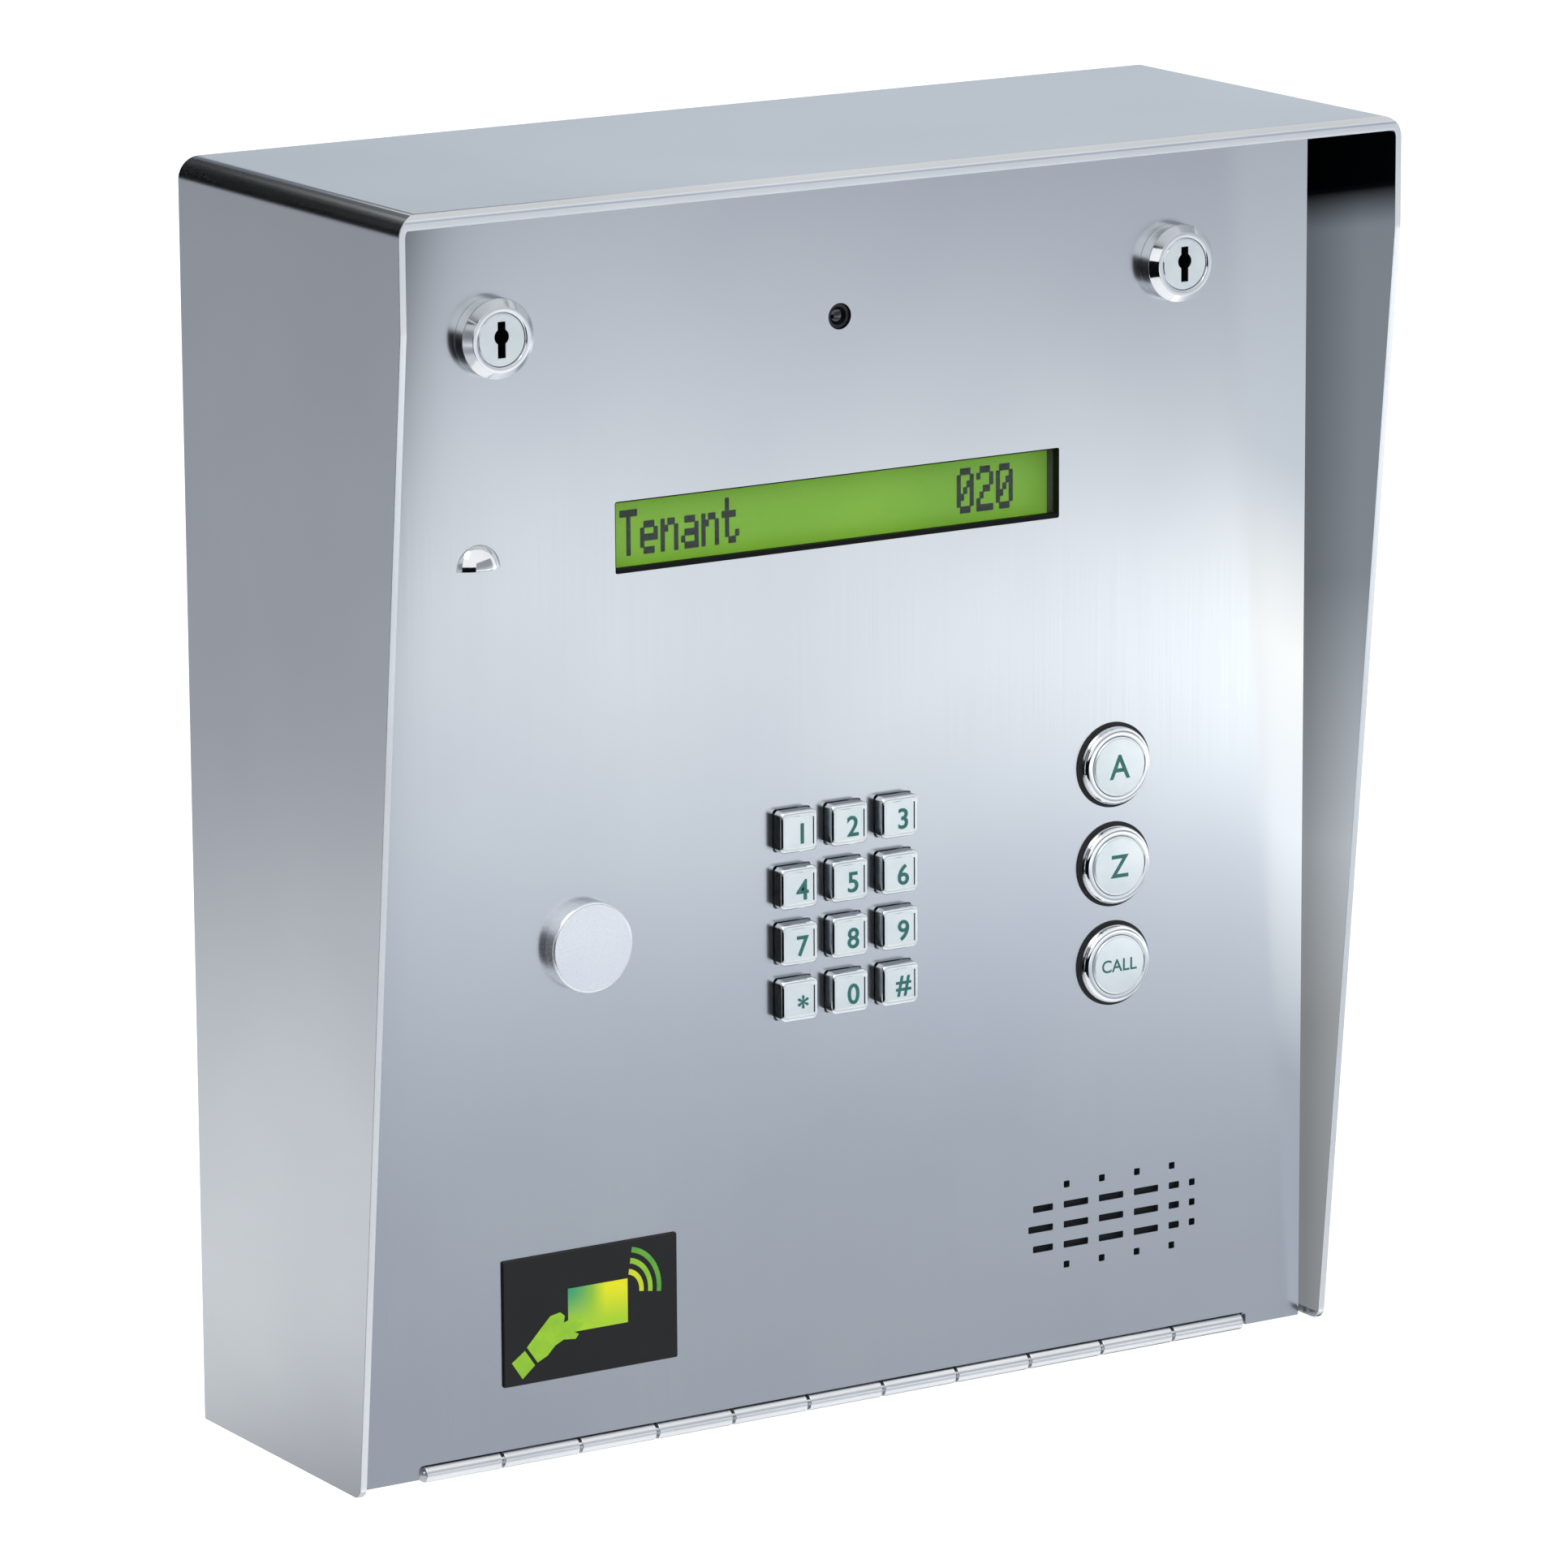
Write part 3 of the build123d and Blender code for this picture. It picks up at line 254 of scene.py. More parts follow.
@dataclass(frozen=True)
class SolderMask(Finish):
    """Green lacquer over copper tracks: straight runs that turn from patch to patch."""

    track: str = "#1F8A4C"

    def paint(self, tree: bpy.types.NodeTree, place: bpy.types.NodeSocket) -> bpy.types.NodeSocket:
        """Tracks across or along, under the lacquer.

        Args:
            tree: The material's node tree.
            place: Object coordinates.

        Returns:
            The colour.
        """
        cells = add(tree, "ShaderNodeTexVoronoi", {"Vector": place, "Scale": 1 / (18 * MM)}, distance="CHEBYCHEV")
        turn = add(tree, "ShaderNodeSeparateColor", {"Color": cells.outputs["Color"]}).outputs[0]
        turned = add(tree, "ShaderNodeMath", {0: turn, 1: 0.5}, operation="GREATER_THAN").outputs[0]
        bands = []
        for direction in ("X", "Z"):
            settings = {"Vector": place, "Scale": 1 / (1.6 * MM * 6.2832 / 2), "Distortion": 0.0}
            wave = add(tree, "ShaderNodeTexWave", settings, bands_direction=direction)
            bands.append(wave.outputs["Fac"])
        mixed = add(tree, "ShaderNodeMix", {0: turned, 2: bands[0], 3: bands[1]}, data_type="FLOAT")
        stops = [(0.0, self.colour, 1), (0.62, self.colour, 1), (0.7, self.track, 1), (1.0, self.track, 1)]
        return add(tree, "ShaderNodeValToRGB", {"Fac": mixed.outputs[0]}, stops).outputs["Color"]


@dataclass(frozen=True)
class CardPrint(Finish):
    """Screen print: teal to yellow along the top, and the plain colour at the bottom."""

    corner: tuple[float, float] = (0.0, 0.0)  # left and bottom edges, mm
    size: tuple[float, float] = (18.0, 12.0)

    def paint(self, tree: bpy.types.NodeTree, place: bpy.types.NodeSocket) -> bpy.types.NodeSocket:
        """Colour by how far across and up the card it is.

        Args:
            tree: The material's node tree.
            place: Object coordinates.

        Returns:
            The colour.
        """
        parts = add(tree, "ShaderNodeSeparateXYZ", {"Vector": place})
        shares = []
        for output, start, length in zip((0, 2), self.corner, self.size):
            ends = {"Value": parts.outputs[output], "From Min": start * MM, "From Max": (start + length) * MM}
            shares.append(add(tree, "ShaderNodeMapRange", ends, interpolation_type="SMOOTHSTEP").outputs[0])
        stops = [(0.0, "#37A472", 1), (0.35, "#8CC63C", 1), (0.7, "#F0F00E", 1), (1.0, "#F4EE0A", 1)]
        top = add(tree, "ShaderNodeValToRGB", {"Fac": shares[0]}, stops).outputs["Color"]
        mixed = {0: shares[1], 6: linear(self.colour), 7: top}
        return add(tree, "ShaderNodeMix", mixed, data_type="RGBA").outputs[2]


@dataclass(frozen=True)
class ShadePaintedSheet(Finish):
    """Sheet with a painted shade in its upper left corner, which stands for the hood's shadow there."""

    corner: tuple[float, float] = (-125.5, 160.0)  # x and z where the shade is half its depth, mm
    reach: tuple[float, float] = (6.5, 42.0)  # how fast it fades across and down, mm
    depth: float = 0.92  # share of the shade deep in the corner
    front: float = -78.3  # y behind which the sheet carries no painted shade, mm
    shade: str = "#1E242C"

    def paint(self, tree: bpy.types.NodeTree, place: bpy.types.NodeSocket) -> bpy.types.NodeSocket:
        """The plain colour under a shade that fades softly away from the corner.

        Args:
            tree: The material's node tree.
            place: Object coordinates.

        Returns:
            The colour.
        """
        across, down = self.reach
        slope = (1 / (across * MM), 0.0, -1 / (down * MM))
        start = self.corner[1] / down - self.corner[0] / across
        far = add(tree, "ShaderNodeVectorMath", {0: place, 1: slope}, operation="DOT_PRODUCT").outputs["Value"]
        power = add(tree, "ShaderNodeMath", {0: far, 1: start}, operation="ADD").outputs[0]
        growth = add(tree, "ShaderNodeMath", {0: power}, operation="EXPONENT").outputs[0]
        below = add(tree, "ShaderNodeMath", {0: growth, 1: 1.0}, operation="ADD").outputs[0]
        share = add(tree, "ShaderNodeMath", {0: self.depth, 1: below}, operation="DIVIDE").outputs[0]
        back = add(tree, "ShaderNodeSeparateXYZ", {"Vector": place}).outputs[1]
        front = add(tree, "ShaderNodeMath", {0: back, 1: self.front * MM}, operation="LESS_THAN").outputs[0]
        share = add(tree, "ShaderNodeMath", {0: share, 1: front}, operation="MULTIPLY").outputs[0]
        mixed = {0: share, 6: super().paint(tree, place), 7: linear(self.shade)}
        return add(tree, "ShaderNodeMix", mixed, data_type="RGBA").outputs[2]


# Cold-rolled stainless sheet, satin brushed: long fine scratches that soften what it mirrors. The
# shade painted in the corner beside the hood stands for the hood's own deep shadow there.
DOOR_SHEET = ShadePaintedSheet(
    "stainless_brushed_upright", "#CACED5", "#D2D6DB", 0.21, 0.012, Brush.UPRIGHT.value, 0.0002, 1.0, 90
)
SHELL_SHEET = Finish(
    "stainless_brushed_shell", "#C6C9CC", "#CFD2D4", 0.22, 0.012, Brush.FRONT_TO_BACK.value, 0.0002, 1.0, 90
)
# The hood's turned-down lip, brushed along its length: paler than the sheet beside it, a painted highlight along its
# bend.
LIP_SHEET = Finish("stainless_folded_lip", "#DCE3EC", "#E6ECF3", 0.36, 0.03, Brush.SIDEWAYS.value, 0.0004, 1.0, 90)
# Sheared and deburred edge of the same sheet: rougher from the broken burr, and paler as a painted highlight where the
# edges catch the light.
CUT_EDGE = Finish("stainless_deburred_edge", "#EEF1F4", "#F6F8FA", 0.34, 0.05, (0.4, 0.4, 0.4), 0.003, 1.0)
# Mill-finish stainless inside the housing: duller, with no brushing.
INNER_SHEET = Finish("stainless_mill_finish", "#C4C7CA", "#B4B8BC", 0.38, 0.06, Brush.SIDEWAYS.value, 0.002, 1.0, 60)
# Rolled hinge strip, bright: a pale line of knuckles.
HINGE_STRIP = Finish("stainless_rolled_bright", "#E2E5E8", "#ECEEF0", 0.33, 0.05, Brush.SIDEWAYS.value, 0.0006, 1.0, 30)
# Zinc plate, clear passivated: slightly warm with a faint patchy bloom.
ZINC = Finish("zinc_plated_steel", "#C9CAC4", "#B7BCC0", 0.34, 0.08, (0.6, 0.6, 0.6), 0.002, 1.0, 6)
# EPDM seal, extruded: matt black with a dusty bloom.
SEAL = Finish("epdm_extruded", "#191A1B", "#242526", 0.75, 0.1, (0.5, 0.5, 0.5), 0.01, patch=12)
# Decorative chrome plate on zinc castings: mirror bright with a faint ripple from polishing.
CHROME = Finish("chrome_plated_polished", "#E6E9EC", "#F1F3F5", 0.07, 0.02, (3.0, 3.0, 3.0), 0.004, 1.0, 8)
# Inside of the keyways: near black, a painted shade for the depth of the slots.
KEYWAY_DARK = Finish("zinc_casting_oiled", "#0B0C0D", "#121314", 0.5, 0.08, (0.4, 0.4, 0.4), 0.004, patch=2)
# Keys: chrome plate over moulded ABS, a little softer than the castings.
KEY_PLATE = Finish("chrome_plated_abs", "#DCE3E6", "#EEF2F4", 0.09, 0.02, (1.5, 1.5, 1.5), 0.001, 1.0, 6)
# Faces of keys and buttons: blasted and nickel plated, pale blue-white and soft.
BUTTON_FACE = Finish("nickel_plated_blasted", "#E9F3F5", "#F4FAFB", 0.34, 0.04, Brush.ROUND.value, 0.0006, 0.8, 7)
# Cover: fine-turned stainless under clear lacquer, pale.
COVER = Finish("stainless_fine_turned", "#F0F4FB", "#F5F8FE", 0.26, 0.02, Brush.ROUND.value, 0.0002, 0.8, 20)
# Epoxy glass board under green solder mask: glossy lacquer with tracks showing through.
BOARD = SolderMask("epoxy_glass_solder_mask", "#0B4A27", "#0E5A30", 0.28, 0.05, (0.8, 0.8, 0.8), 0.01, coat=0.3)
# Polyamide terminal blocks, moulded: eye-catching green, slightly waxy.
TERMINAL = Finish("polyamide_moulded_green", "#2F8F45", "#2A823E", 0.42, 0.06, (0.6, 0.6, 0.6), 0.006, patch=15)
# ABS and epoxy mouldings, black: fine spark texture.
BLACK_PLASTIC = Finish("abs_moulded_black", "#141516", "#1B1C1E", 0.45, 0.08, (0.35, 0.35, 0.35), 0.006, patch=10)
# Shrink sleeve of an aluminium can: dark blue, glossy.
SLEEVE = Finish("pvc_sleeve_on_can", "#1D2A4D", "#22305A", 0.3, 0.05, (1.2, 1.2, 1.2), 0.004, patch=8, coat=0.2)
# Natural polyamide posts: milky and slightly warm.
NYLON = Finish("polyamide_natural", "#E4E0D2", "#D9D4C3", 0.45, 0.06, (0.6, 0.6, 0.6), 0.004, patch=6)
# Polycarbonate window: clear, so only its gloss shows.
WINDOW = Finish("polycarbonate_clear", "#E8F2E4", "#F0F8EC", 0.06, 0.02, (6.0, 6.0, 6.0), 0.001, alpha=0.04, ior=1.58)
# Backlit liquid-crystal glass: yellow-green, a little brighter in slow patches.
LCD = Finish("lcd_glass_backlit", "#74B40E", "#80BF16", 0.3, 0.04, (0.9, 0.9, 0.9), 0.0005, patch=45, glow=0.3, ior=1.3)
# Black rim and edge trim round the display: matt, so that it frames the lit glass.
LCD_RIM = Finish("polycarbonate_black_rim", "#05080A", "#0A0F10", 0.5, 0.06, (0.5, 0.5, 0.5), 0.002, patch=10, ior=1.25)
# Cured silicone rubber mat: grey, soft sheen.
SILICONE = Finish("silicone_moulded_grey", "#888B90", "#7B7E83", 0.6, 0.06, (0.6, 0.6, 0.6), 0.006, patch=12)
# Smoked acrylic reading face: near black and even, lightly etched against glare.
READER = Finish("acrylic_smoked_etched", "#131515", "#171919", 0.32, 0.04, (0.4, 0.4, 0.4), 0.001, patch=20, ior=1.42)
# Speaker pressings under black powder coat: fine orange peel.
POWDER = Finish("powder_coat_black", "#1E1F21", "#27292B", 0.5, 0.06, (1.0, 1.0, 1.0), 0.02, patch=12)
# Woven acoustic screen, threads drawn 0.5 mm apart, which is coarser than real so that they show.
CLOTH = Woven("polyester_woven_screen", "#15171A", "#23272C", 0.7, 0.08, (0.5, 0.5, 0.5), 0.06, patch=20)
# Sintered ferrite: dark grey, slightly glittering.
FERRITE = Finish("ferrite_sintered", "#4A4B4D", "#3C3D40", 0.55, 0.08, (0.4, 0.4, 0.4), 0.01, patch=5)
# Legends filled with stoved enamel: deep teal with a soft gloss.
LEGEND = Finish("enamel_filled_teal", "#1E6C68", "#2B7F79", 0.35, 0.05, (0.5, 0.5, 0.5), 0.004, patch=2)
# Dark liquid-crystal dots.
LCD_DOT = Finish("lcd_dark_segment", "#04201E", "#082A28", 0.5, 0.04, (0.3, 0.3, 0.3), 0.001, patch=3, ior=1.2)
# Screen print on the reader: lime ink, with a yellow and a green for the waves; each carries a faint painted glow,
# though ink gives no light.
LIME_INK = Finish("screen_print_lime", "#A0D42A", "#8CC52C", 0.4, 0.05, (0.3, 0.3, 0.3), 0.002, patch=5, glow=0.15)
YELLOW_INK = Finish("screen_print_yellow", "#E2E41C", "#C8DC24", 0.4, 0.05, (0.3, 0.3, 0.3), 0.002, patch=2, glow=0.15)
GREEN_INK = Finish("screen_print_green", "#4FA63C", "#78BC34", 0.4, 0.05, (0.3, 0.3, 0.3), 0.002, patch=3, glow=0.1)
# Lens glass: dark, with a strong clear gloss.
LENS = Finish("lens_glass_coated", "#0B0E16", "#141028", 0.03, 0.01, (2.0, 2.0, 2.0), 0.0005, patch=2, coat=1.0)
# Tinned copper legs and solder.
SOLDER = Finish("tin_solder", "#D4D6D6", "#C2C5C6", 0.3, 0.06, (0.4, 0.4, 0.4), 0.003, 1.0, 3)
# Ceramic bodies of the small surface-mounted parts.
CERAMIC = Finish("ceramic_fired", "#6B5A45", "#80705A", 0.5, 0.06, (0.3, 0.3, 0.3), 0.002, patch=2)

SLOT_FINISH = {
    "stainless_sheet": SHELL_SHEET,
    "inner_steel": INNER_SHEET,
    "hinge_steel": HINGE_STRIP,
    "zinc_fixings": ZINC,
    "seal_rubber": SEAL,
    "chrome": CHROME,
    "button_face": BUTTON_FACE,
    "cover_steel": COVER,
    "circuit_board": BOARD,
    "terminal_green": TERMINAL,
    "black_plastic": BLACK_PLASTIC,
    "capacitor_can": SLEEVE,
    "nylon": NYLON,
    "display_clear": WINDOW,
    "display_green": LCD,
    "silicone": SILICONE,
    "reader_face": READER,
    "speaker_steel": POWDER,
    "speaker_cloth": CLOTH,
    "ferrite": FERRITE,
    "legend_green": LEGEND,
}
_made: dict[str, bpy.types.Material] = {}


def material(finish: Finish) -> bpy.types.Material:
    """Makes a finish once and gives the same material after that."""
    if finish.name not in _made:
        _made[finish.name] = finish.build()
    return _made[finish.name]


# --- Bench: how pieces are modelled ------------------------------------------------------------------
def clear_bench() -> None:
    """Leaves nothing selected, in object mode."""
    if bpy.context.object and bpy.context.object.mode != "OBJECT":
        bpy.ops.object.mode_set(mode="OBJECT")
    bpy.ops.object.select_all(action="DESELECT")


def take_up(piece: bpy.types.Object) -> None:
    """Leaves only this piece selected and active, in object mode."""
    clear_bench()
    piece.select_set(True)
    bpy.context.view_layer.objects.active = piece


@contextmanager
def editing(piece: bpy.types.Object, select: str = "FACE") -> Iterator[None]:
    """Edit mode on one piece, with nothing selected at first.

    Args:
        piece: The piece to edit.
        select: VERT, EDGE or FACE.
    """
    take_up(piece)
    bpy.ops.object.mode_set(mode="EDIT")
    bpy.ops.mesh.select_mode(type=select)
    bpy.ops.mesh.select_all(action="DESELECT")
    yield
    bpy.ops.object.mode_set(mode="OBJECT")


def pick(piece: bpy.types.Object, kind: str, rule: Callable[[object], bool]) -> None:
    """Selects what a rule accepts, in edit mode.

    Args:
        piece: The piece in edit mode.
        kind: "verts", "edges" or "faces".
        rule: Says whether an element is wanted.
    """
    mesh = bmesh.from_edit_mesh(piece.data)
    for element in getattr(mesh, kind):
        element.select_set(False)
    for element in getattr(mesh, kind):
        if rule(element):
            element.select_set(True)
    mesh.select_flush_mode()
    bmesh.update_edit_mesh(piece.data)


def added(name: str) -> bpy.types.Object:
    """Names the primitive just added and applies its place, turn and scale.

    Args:
        name: Name of the piece.

    Returns:
        The piece, at the origin.
    """
    piece = bpy.context.object
    piece.name = name
    piece.data.name = name
    bpy.ops.object.transform_apply(location=True, rotation=True, scale=True)
    return piece


def smooth(piece: bpy.types.Object, edge: float = 0.0, angle: float = 32.0) -> bpy.types.Object:
    """Rounds the sharp edges a little and shades the rest smooth.

    Args:
        piece: The piece to finish.
        edge: Width of the rounding, mm; 0 for none.
        angle: Edges flatter than this are shaded smooth, degrees.

    Returns:
        The same piece.
    """
    take_up(piece)
    if edge:
        bevel = piece.modifiers.new("edge", "BEVEL")
        bevel.width, bevel.segments, bevel.limit_method = edge * MM, 2, "ANGLE"
        bevel.angle_limit = math.radians(angle)
        bpy.ops.object.modifier_apply(modifier=bevel.name)
    bpy.ops.object.shade_smooth_by_angle(angle=math.radians(angle))
    weigh = piece.modifiers.new("normals", "WEIGHTED_NORMAL")
    weigh.keep_sharp, weigh.weight = True, 100
    bpy.ops.object.modifier_apply(modifier=weigh.name)
    return piece


def fair_copy(node: str, edge: float = SOFT_EDGE) -> bpy.types.Object:
    """A clean copy of a CAD node: merged, flat faces joined, edges softly rounded.

    Args:
        node: The CAD node.
        edge: Width of the rounding, mm.

    Returns:
        The new piece.
    """
    piece = bpy.data.objects.new(f"{node}_piece", NODES[node].data.copy())
    bpy.context.scene.collection.objects.link(piece)
    with editing(piece, "VERT"):
        bpy.ops.mesh.customdata_custom_splitnormals_clear()
        bpy.ops.mesh.select_all(action="SELECT")
        bpy.ops.mesh.remove_doubles(threshold=0.002 * MM)
        bpy.ops.mesh.dissolve_limited(angle_limit=math.radians(0.4))
    return smooth(piece, edge)


def turned(
    name: str, axis: Vector, profile: Sequence[tuple[float, float]], hollow: bool = False, sides: int = 72
) -> bpy.types.Object:
    """A part turned on a lathe, its axis along Y.

    Args:
        name: Name of the piece.
        axis: A point on the axis, metres; its Y is the face that the profile counts from.
        profile: (radius, distance behind that point) of each ring, mm, from the rear.
        hollow: True if the last ring meets the first, as on a tube.
        sides: How many faces go round.

    Returns:
        The new piece.
    """
    radius, back = profile[0]
    clear_bench()
    fill = "NOTHING" if hollow else "NGON"
    place = axis + Vector((0, back * MM, 0))
    bpy.ops.mesh.primitive_circle_add(
        vertices=sides, radius=radius * MM, fill_type=fill, location=place, rotation=(math.pi / 2, 0, 0)
    )
    piece = added(name)
    with editing(piece, "EDGE" if hollow else "FACE"):
        bpy.ops.mesh.select_all(action="SELECT")
        for next_radius, next_back in profile[1:]:
            step = (0, (next_back - back) * MM, 0)
            bpy.ops.mesh.extrude_region_move(TRANSFORM_OT_translate={"value": step})
            ratio = next_radius / radius
            bpy.ops.transform.resize(value=(ratio, 1, ratio), center_override=axis)
            radius, back = next_radius, next_back
        bpy.ops.mesh.select_all(action="SELECT")
        bpy.ops.mesh.remove_doubles(threshold=0.001 * MM)
        bpy.ops.mesh.normals_make_consistent(inside=False)
    return piece


def slab(name: str, low: Vector, high: Vector, corner: float = 0.0, segments: int = 5) -> bpy.types.Object:
    """A block between two corners, its four edges along Y rounded.

    Args:
        name: Name of the piece.
        low: Lowest corner, metres.
        high: Highest corner, metres.
        corner: Radius of the corners seen from the front, mm.
        segments: Steps in each corner.

    Returns:
        The new piece.
    """
    clear_bench()
    bpy.ops.mesh.primitive_cube_add(size=1, location=(low + high) / 2)
    bpy.context.object.scale = high - low
    piece = added(name)
    if corner:
        with editing(piece, "EDGE"):
            pick(piece, "edges", lambda e: abs((e.verts[0].co - e.verts[1].co).normalized().y) > 0.9)
            bpy.ops.mesh.bevel(offset=corner * MM, segments=segments, affect="EDGES")
    return piece


def outline(name: str, points: Sequence[tuple[float, float]], place: Vector, thick: float) -> bpy.types.Object:
    """A thin flat shape seen from the front, its outline placed point by point.

    Args:
        name: Name of the piece.
        points: (x, z) of each point, mm, anticlockwise.
        place: Where (0, 0) lies, on the surface that carries the shape.
        thick: Height above that surface, mm.

    Returns:
        The new piece.
    """
    clear_bench()
    bpy.ops.mesh.primitive_circle_add(vertices=len(points), radius=MM, fill_type="NGON")
    piece = added(name)
    for vertex, (x, z) in zip(piece.data.vertices, points):
        vertex.co = place + Vector((x * MM, 0, z * MM))
    with editing(piece):
        bpy.ops.mesh.select_all(action="SELECT")
        bpy.ops.mesh.extrude_region_move(TRANSFORM_OT_translate={"value": (0, -thick * MM, 0)})
        bpy.ops.mesh.select_all(action="SELECT")
        bpy.ops.mesh.normals_make_consistent(inside=False)
    return piece


def lettering(name: str, text: str, place: Vector, height: float, thick: float = 0.06) -> bpy.types.Object:
    """Letters that face the front, as a solid inlay.

    Args:
        name: Name of the piece.
        text: The letters.
        place: Centre of the letters' rear, metres.
        height: Height of a capital, mm.
        thick: Thickness of the inlay, mm.

    Returns:
        The new piece.
    """
    clear_bench()
    bpy.ops.object.text_add()
    letters = bpy.context.object
    letters.data.body = text
    letters.data.size = height * MM / 0.7
    letters.data.align_x, letters.data.align_y = "CENTER", "CENTER"
    letters.data.extrude = thick * MM / 2
    letters.data.offset = 0.02 * height * MM
    letters.data.resolution_u = 6
    bpy.ops.object.convert(target="MESH")
    letters = bpy.context.object
    letters.data.transform(Matrix.Rotation(math.pi / 2, 4, "X"))
    low = Vector([min(v.co[i] for v in letters.data.vertices) for i in range(3)])
    high = Vector([max(v.co[i] for v in letters.data.vertices) for i in range(3)])
    shift = place - (low + high) / 2 - Vector((0, thick * MM / 2, 0))
    letters.data.transform(Matrix.Translation(shift))
    piece = added(name)
    with editing(piece, "VERT"):
        bpy.ops.mesh.select_all(action="SELECT")
        bpy.ops.mesh.remove_doubles(threshold=0.002 * MM)
    return smooth(piece)


def repeated(name: str, master: bpy.types.Object, shifts: Sequence[Vector]) -> bpy.types.Object:
    """One piece made of copies of a master, which is then removed.

    Args:
        name: Name of the piece.
        master: The modelled part.
        shifts: How far each copy is moved, metres.

    Returns:
        The new piece.
    """
    mesh = bmesh.new()
    for shift in shifts:
        before = len(mesh.verts)
        mesh.from_mesh(master.data)
        mesh.verts.ensure_lookup_table()
        bmesh.ops.translate(mesh, vec=shift, verts=mesh.verts[before:])
    piece = bpy.data.objects.new(name, bpy.data.meshes.new(name))
    mesh.to_mesh(piece.data)
    mesh.free()
    bpy.context.scene.collection.objects.link(piece)
    bpy.data.objects.remove(master)
    return piece


def joined(name: str, parts: Sequence[bpy.types.Object]) -> bpy.types.Object:
    """Several modelled parts as one piece.

    Args:
        name: Name of the piece.
        parts: The parts, which are used up.

    Returns:
        The piece.
    """
    take_up(parts[0])
    for part in parts:
        part.select_set(True)
    bpy.ops.object.join()
    parts[0].name = name
    return parts[0]


def settle(
    piece: bpy.types.Object, body: str, slot: str, *nodes: str, finish: Finish | None = None
) -> bpy.types.Object:
    """Dresses a finished piece and hands it to its body.

    Args:
        piece: The piece.
        body: The CAD body that it moves with.
        slot: The record's material slot.
        nodes: CAD nodes that it stands for.
        finish: Its finish, if it isn't the slot's own.

    Returns:
        The same piece.
    """
    piece.data.materials.clear()
    piece.data.materials.append(material(finish or SLOT_FINISH[slot]))
    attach(piece, body)
    if nodes:
        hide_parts(*nodes)
    log.info("%s rides on %s, %d faces", piece.name, body, len(piece.data.polygons))
    return piece


def stand_in(node: str, edge: float = SOFT_EDGE, finish: Finish | None = None) -> bpy.types.Object:
    """A fair copy of a CAD node that stands for it on its own body."""
    return settle(fair_copy(node, edge), NODES[node]["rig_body"], SLOT_OF[node], node, finish=finish)


# --- Sub-assemblies ------------------------------------------------------------------------------------
@dataclass
class Enclosure:
    """Folded housing, back plate, floor, door frame and seal."""

    edge: float = 0.45  # rounding of the deburred edges, mm
    plain: tuple[str, ...] = ("back_plate", "bottom_panel", "door_frame", "door_gasket", "wiring_grommet", "earth_stud")

    def build(self) -> None:
        """Builds the shell, with its cut edges and its lip picked out, and what is fixed in it."""
        shell = stand_in("housing_shell", self.edge)
        shell.data.materials.append(material(CUT_EDGE))
        shell.data.materials.append(material(LIP_SHEET))
        low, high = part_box("housing_shell")
        # Cut edges and the lip take paler copies of the sheet: painted highlights.
        for face in shell.data.polygons:
            bottom = face.normal.z < -0.9 and face.center.z < low.z + MM
            if bottom or face.normal.y < -0.9:
                face.material_index = 2 if face.center.z > high.z - 5 * MM else 1
        for node in self.plain:
            stand_in(node, SHEET_EDGE)


@dataclass
class Hinge:
    """Eleven-knuckle piano hinge along the bottom."""

    edge: float = SHEET_EDGE
    ease: float = 0.3  # trimmed off each knuckle's end, mm
    knuckle: float = 2.4  # everything nearer to the axis than this is knuckle, mm

    def build(self) -> None:
        """Builds both leaves, with open joints between the knuckles, and the pin."""
        axis = middle("hinge_pin")
        for node in ("hinge_body_leaf", "hinge_door_leaf"):
            leaf = fair_copy(node, 0.0)
            for side in (-1, 1):
                with editing(leaf):
                    pick(leaf, "faces", lambda f: f.normal.x * side > 0.9 and self.nears(f.calc_center_median(), axis))
                    bpy.ops.transform.translate(value=(-side * self.ease * MM, 0, 0))
            settle(smooth(leaf, self.edge), NODES[node]["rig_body"], SLOT_OF[node], node)
        stand_in("hinge_pin", self.edge)

    def nears(self, point: Vector, axis: Vector) -> bool:
        """Whether a point lies within the knuckles."""
        return math.hypot(point.y - axis.y, point.z - axis.z) < self.knuckle * MM


@dataclass
class Door:
    """Folded door sheet and the fixings inside it."""

    edge: float = SHEET_EDGE

    def build(self) -> None:
        """Builds the sheet, its studs and its large nuts."""
        stand_in("door_panel", self.edge, finish=DOOR_SHEET)
        for node in ("door_studs", "lock_nuts", "button_nuts"):
            stand_in(node, SHEET_EDGE)


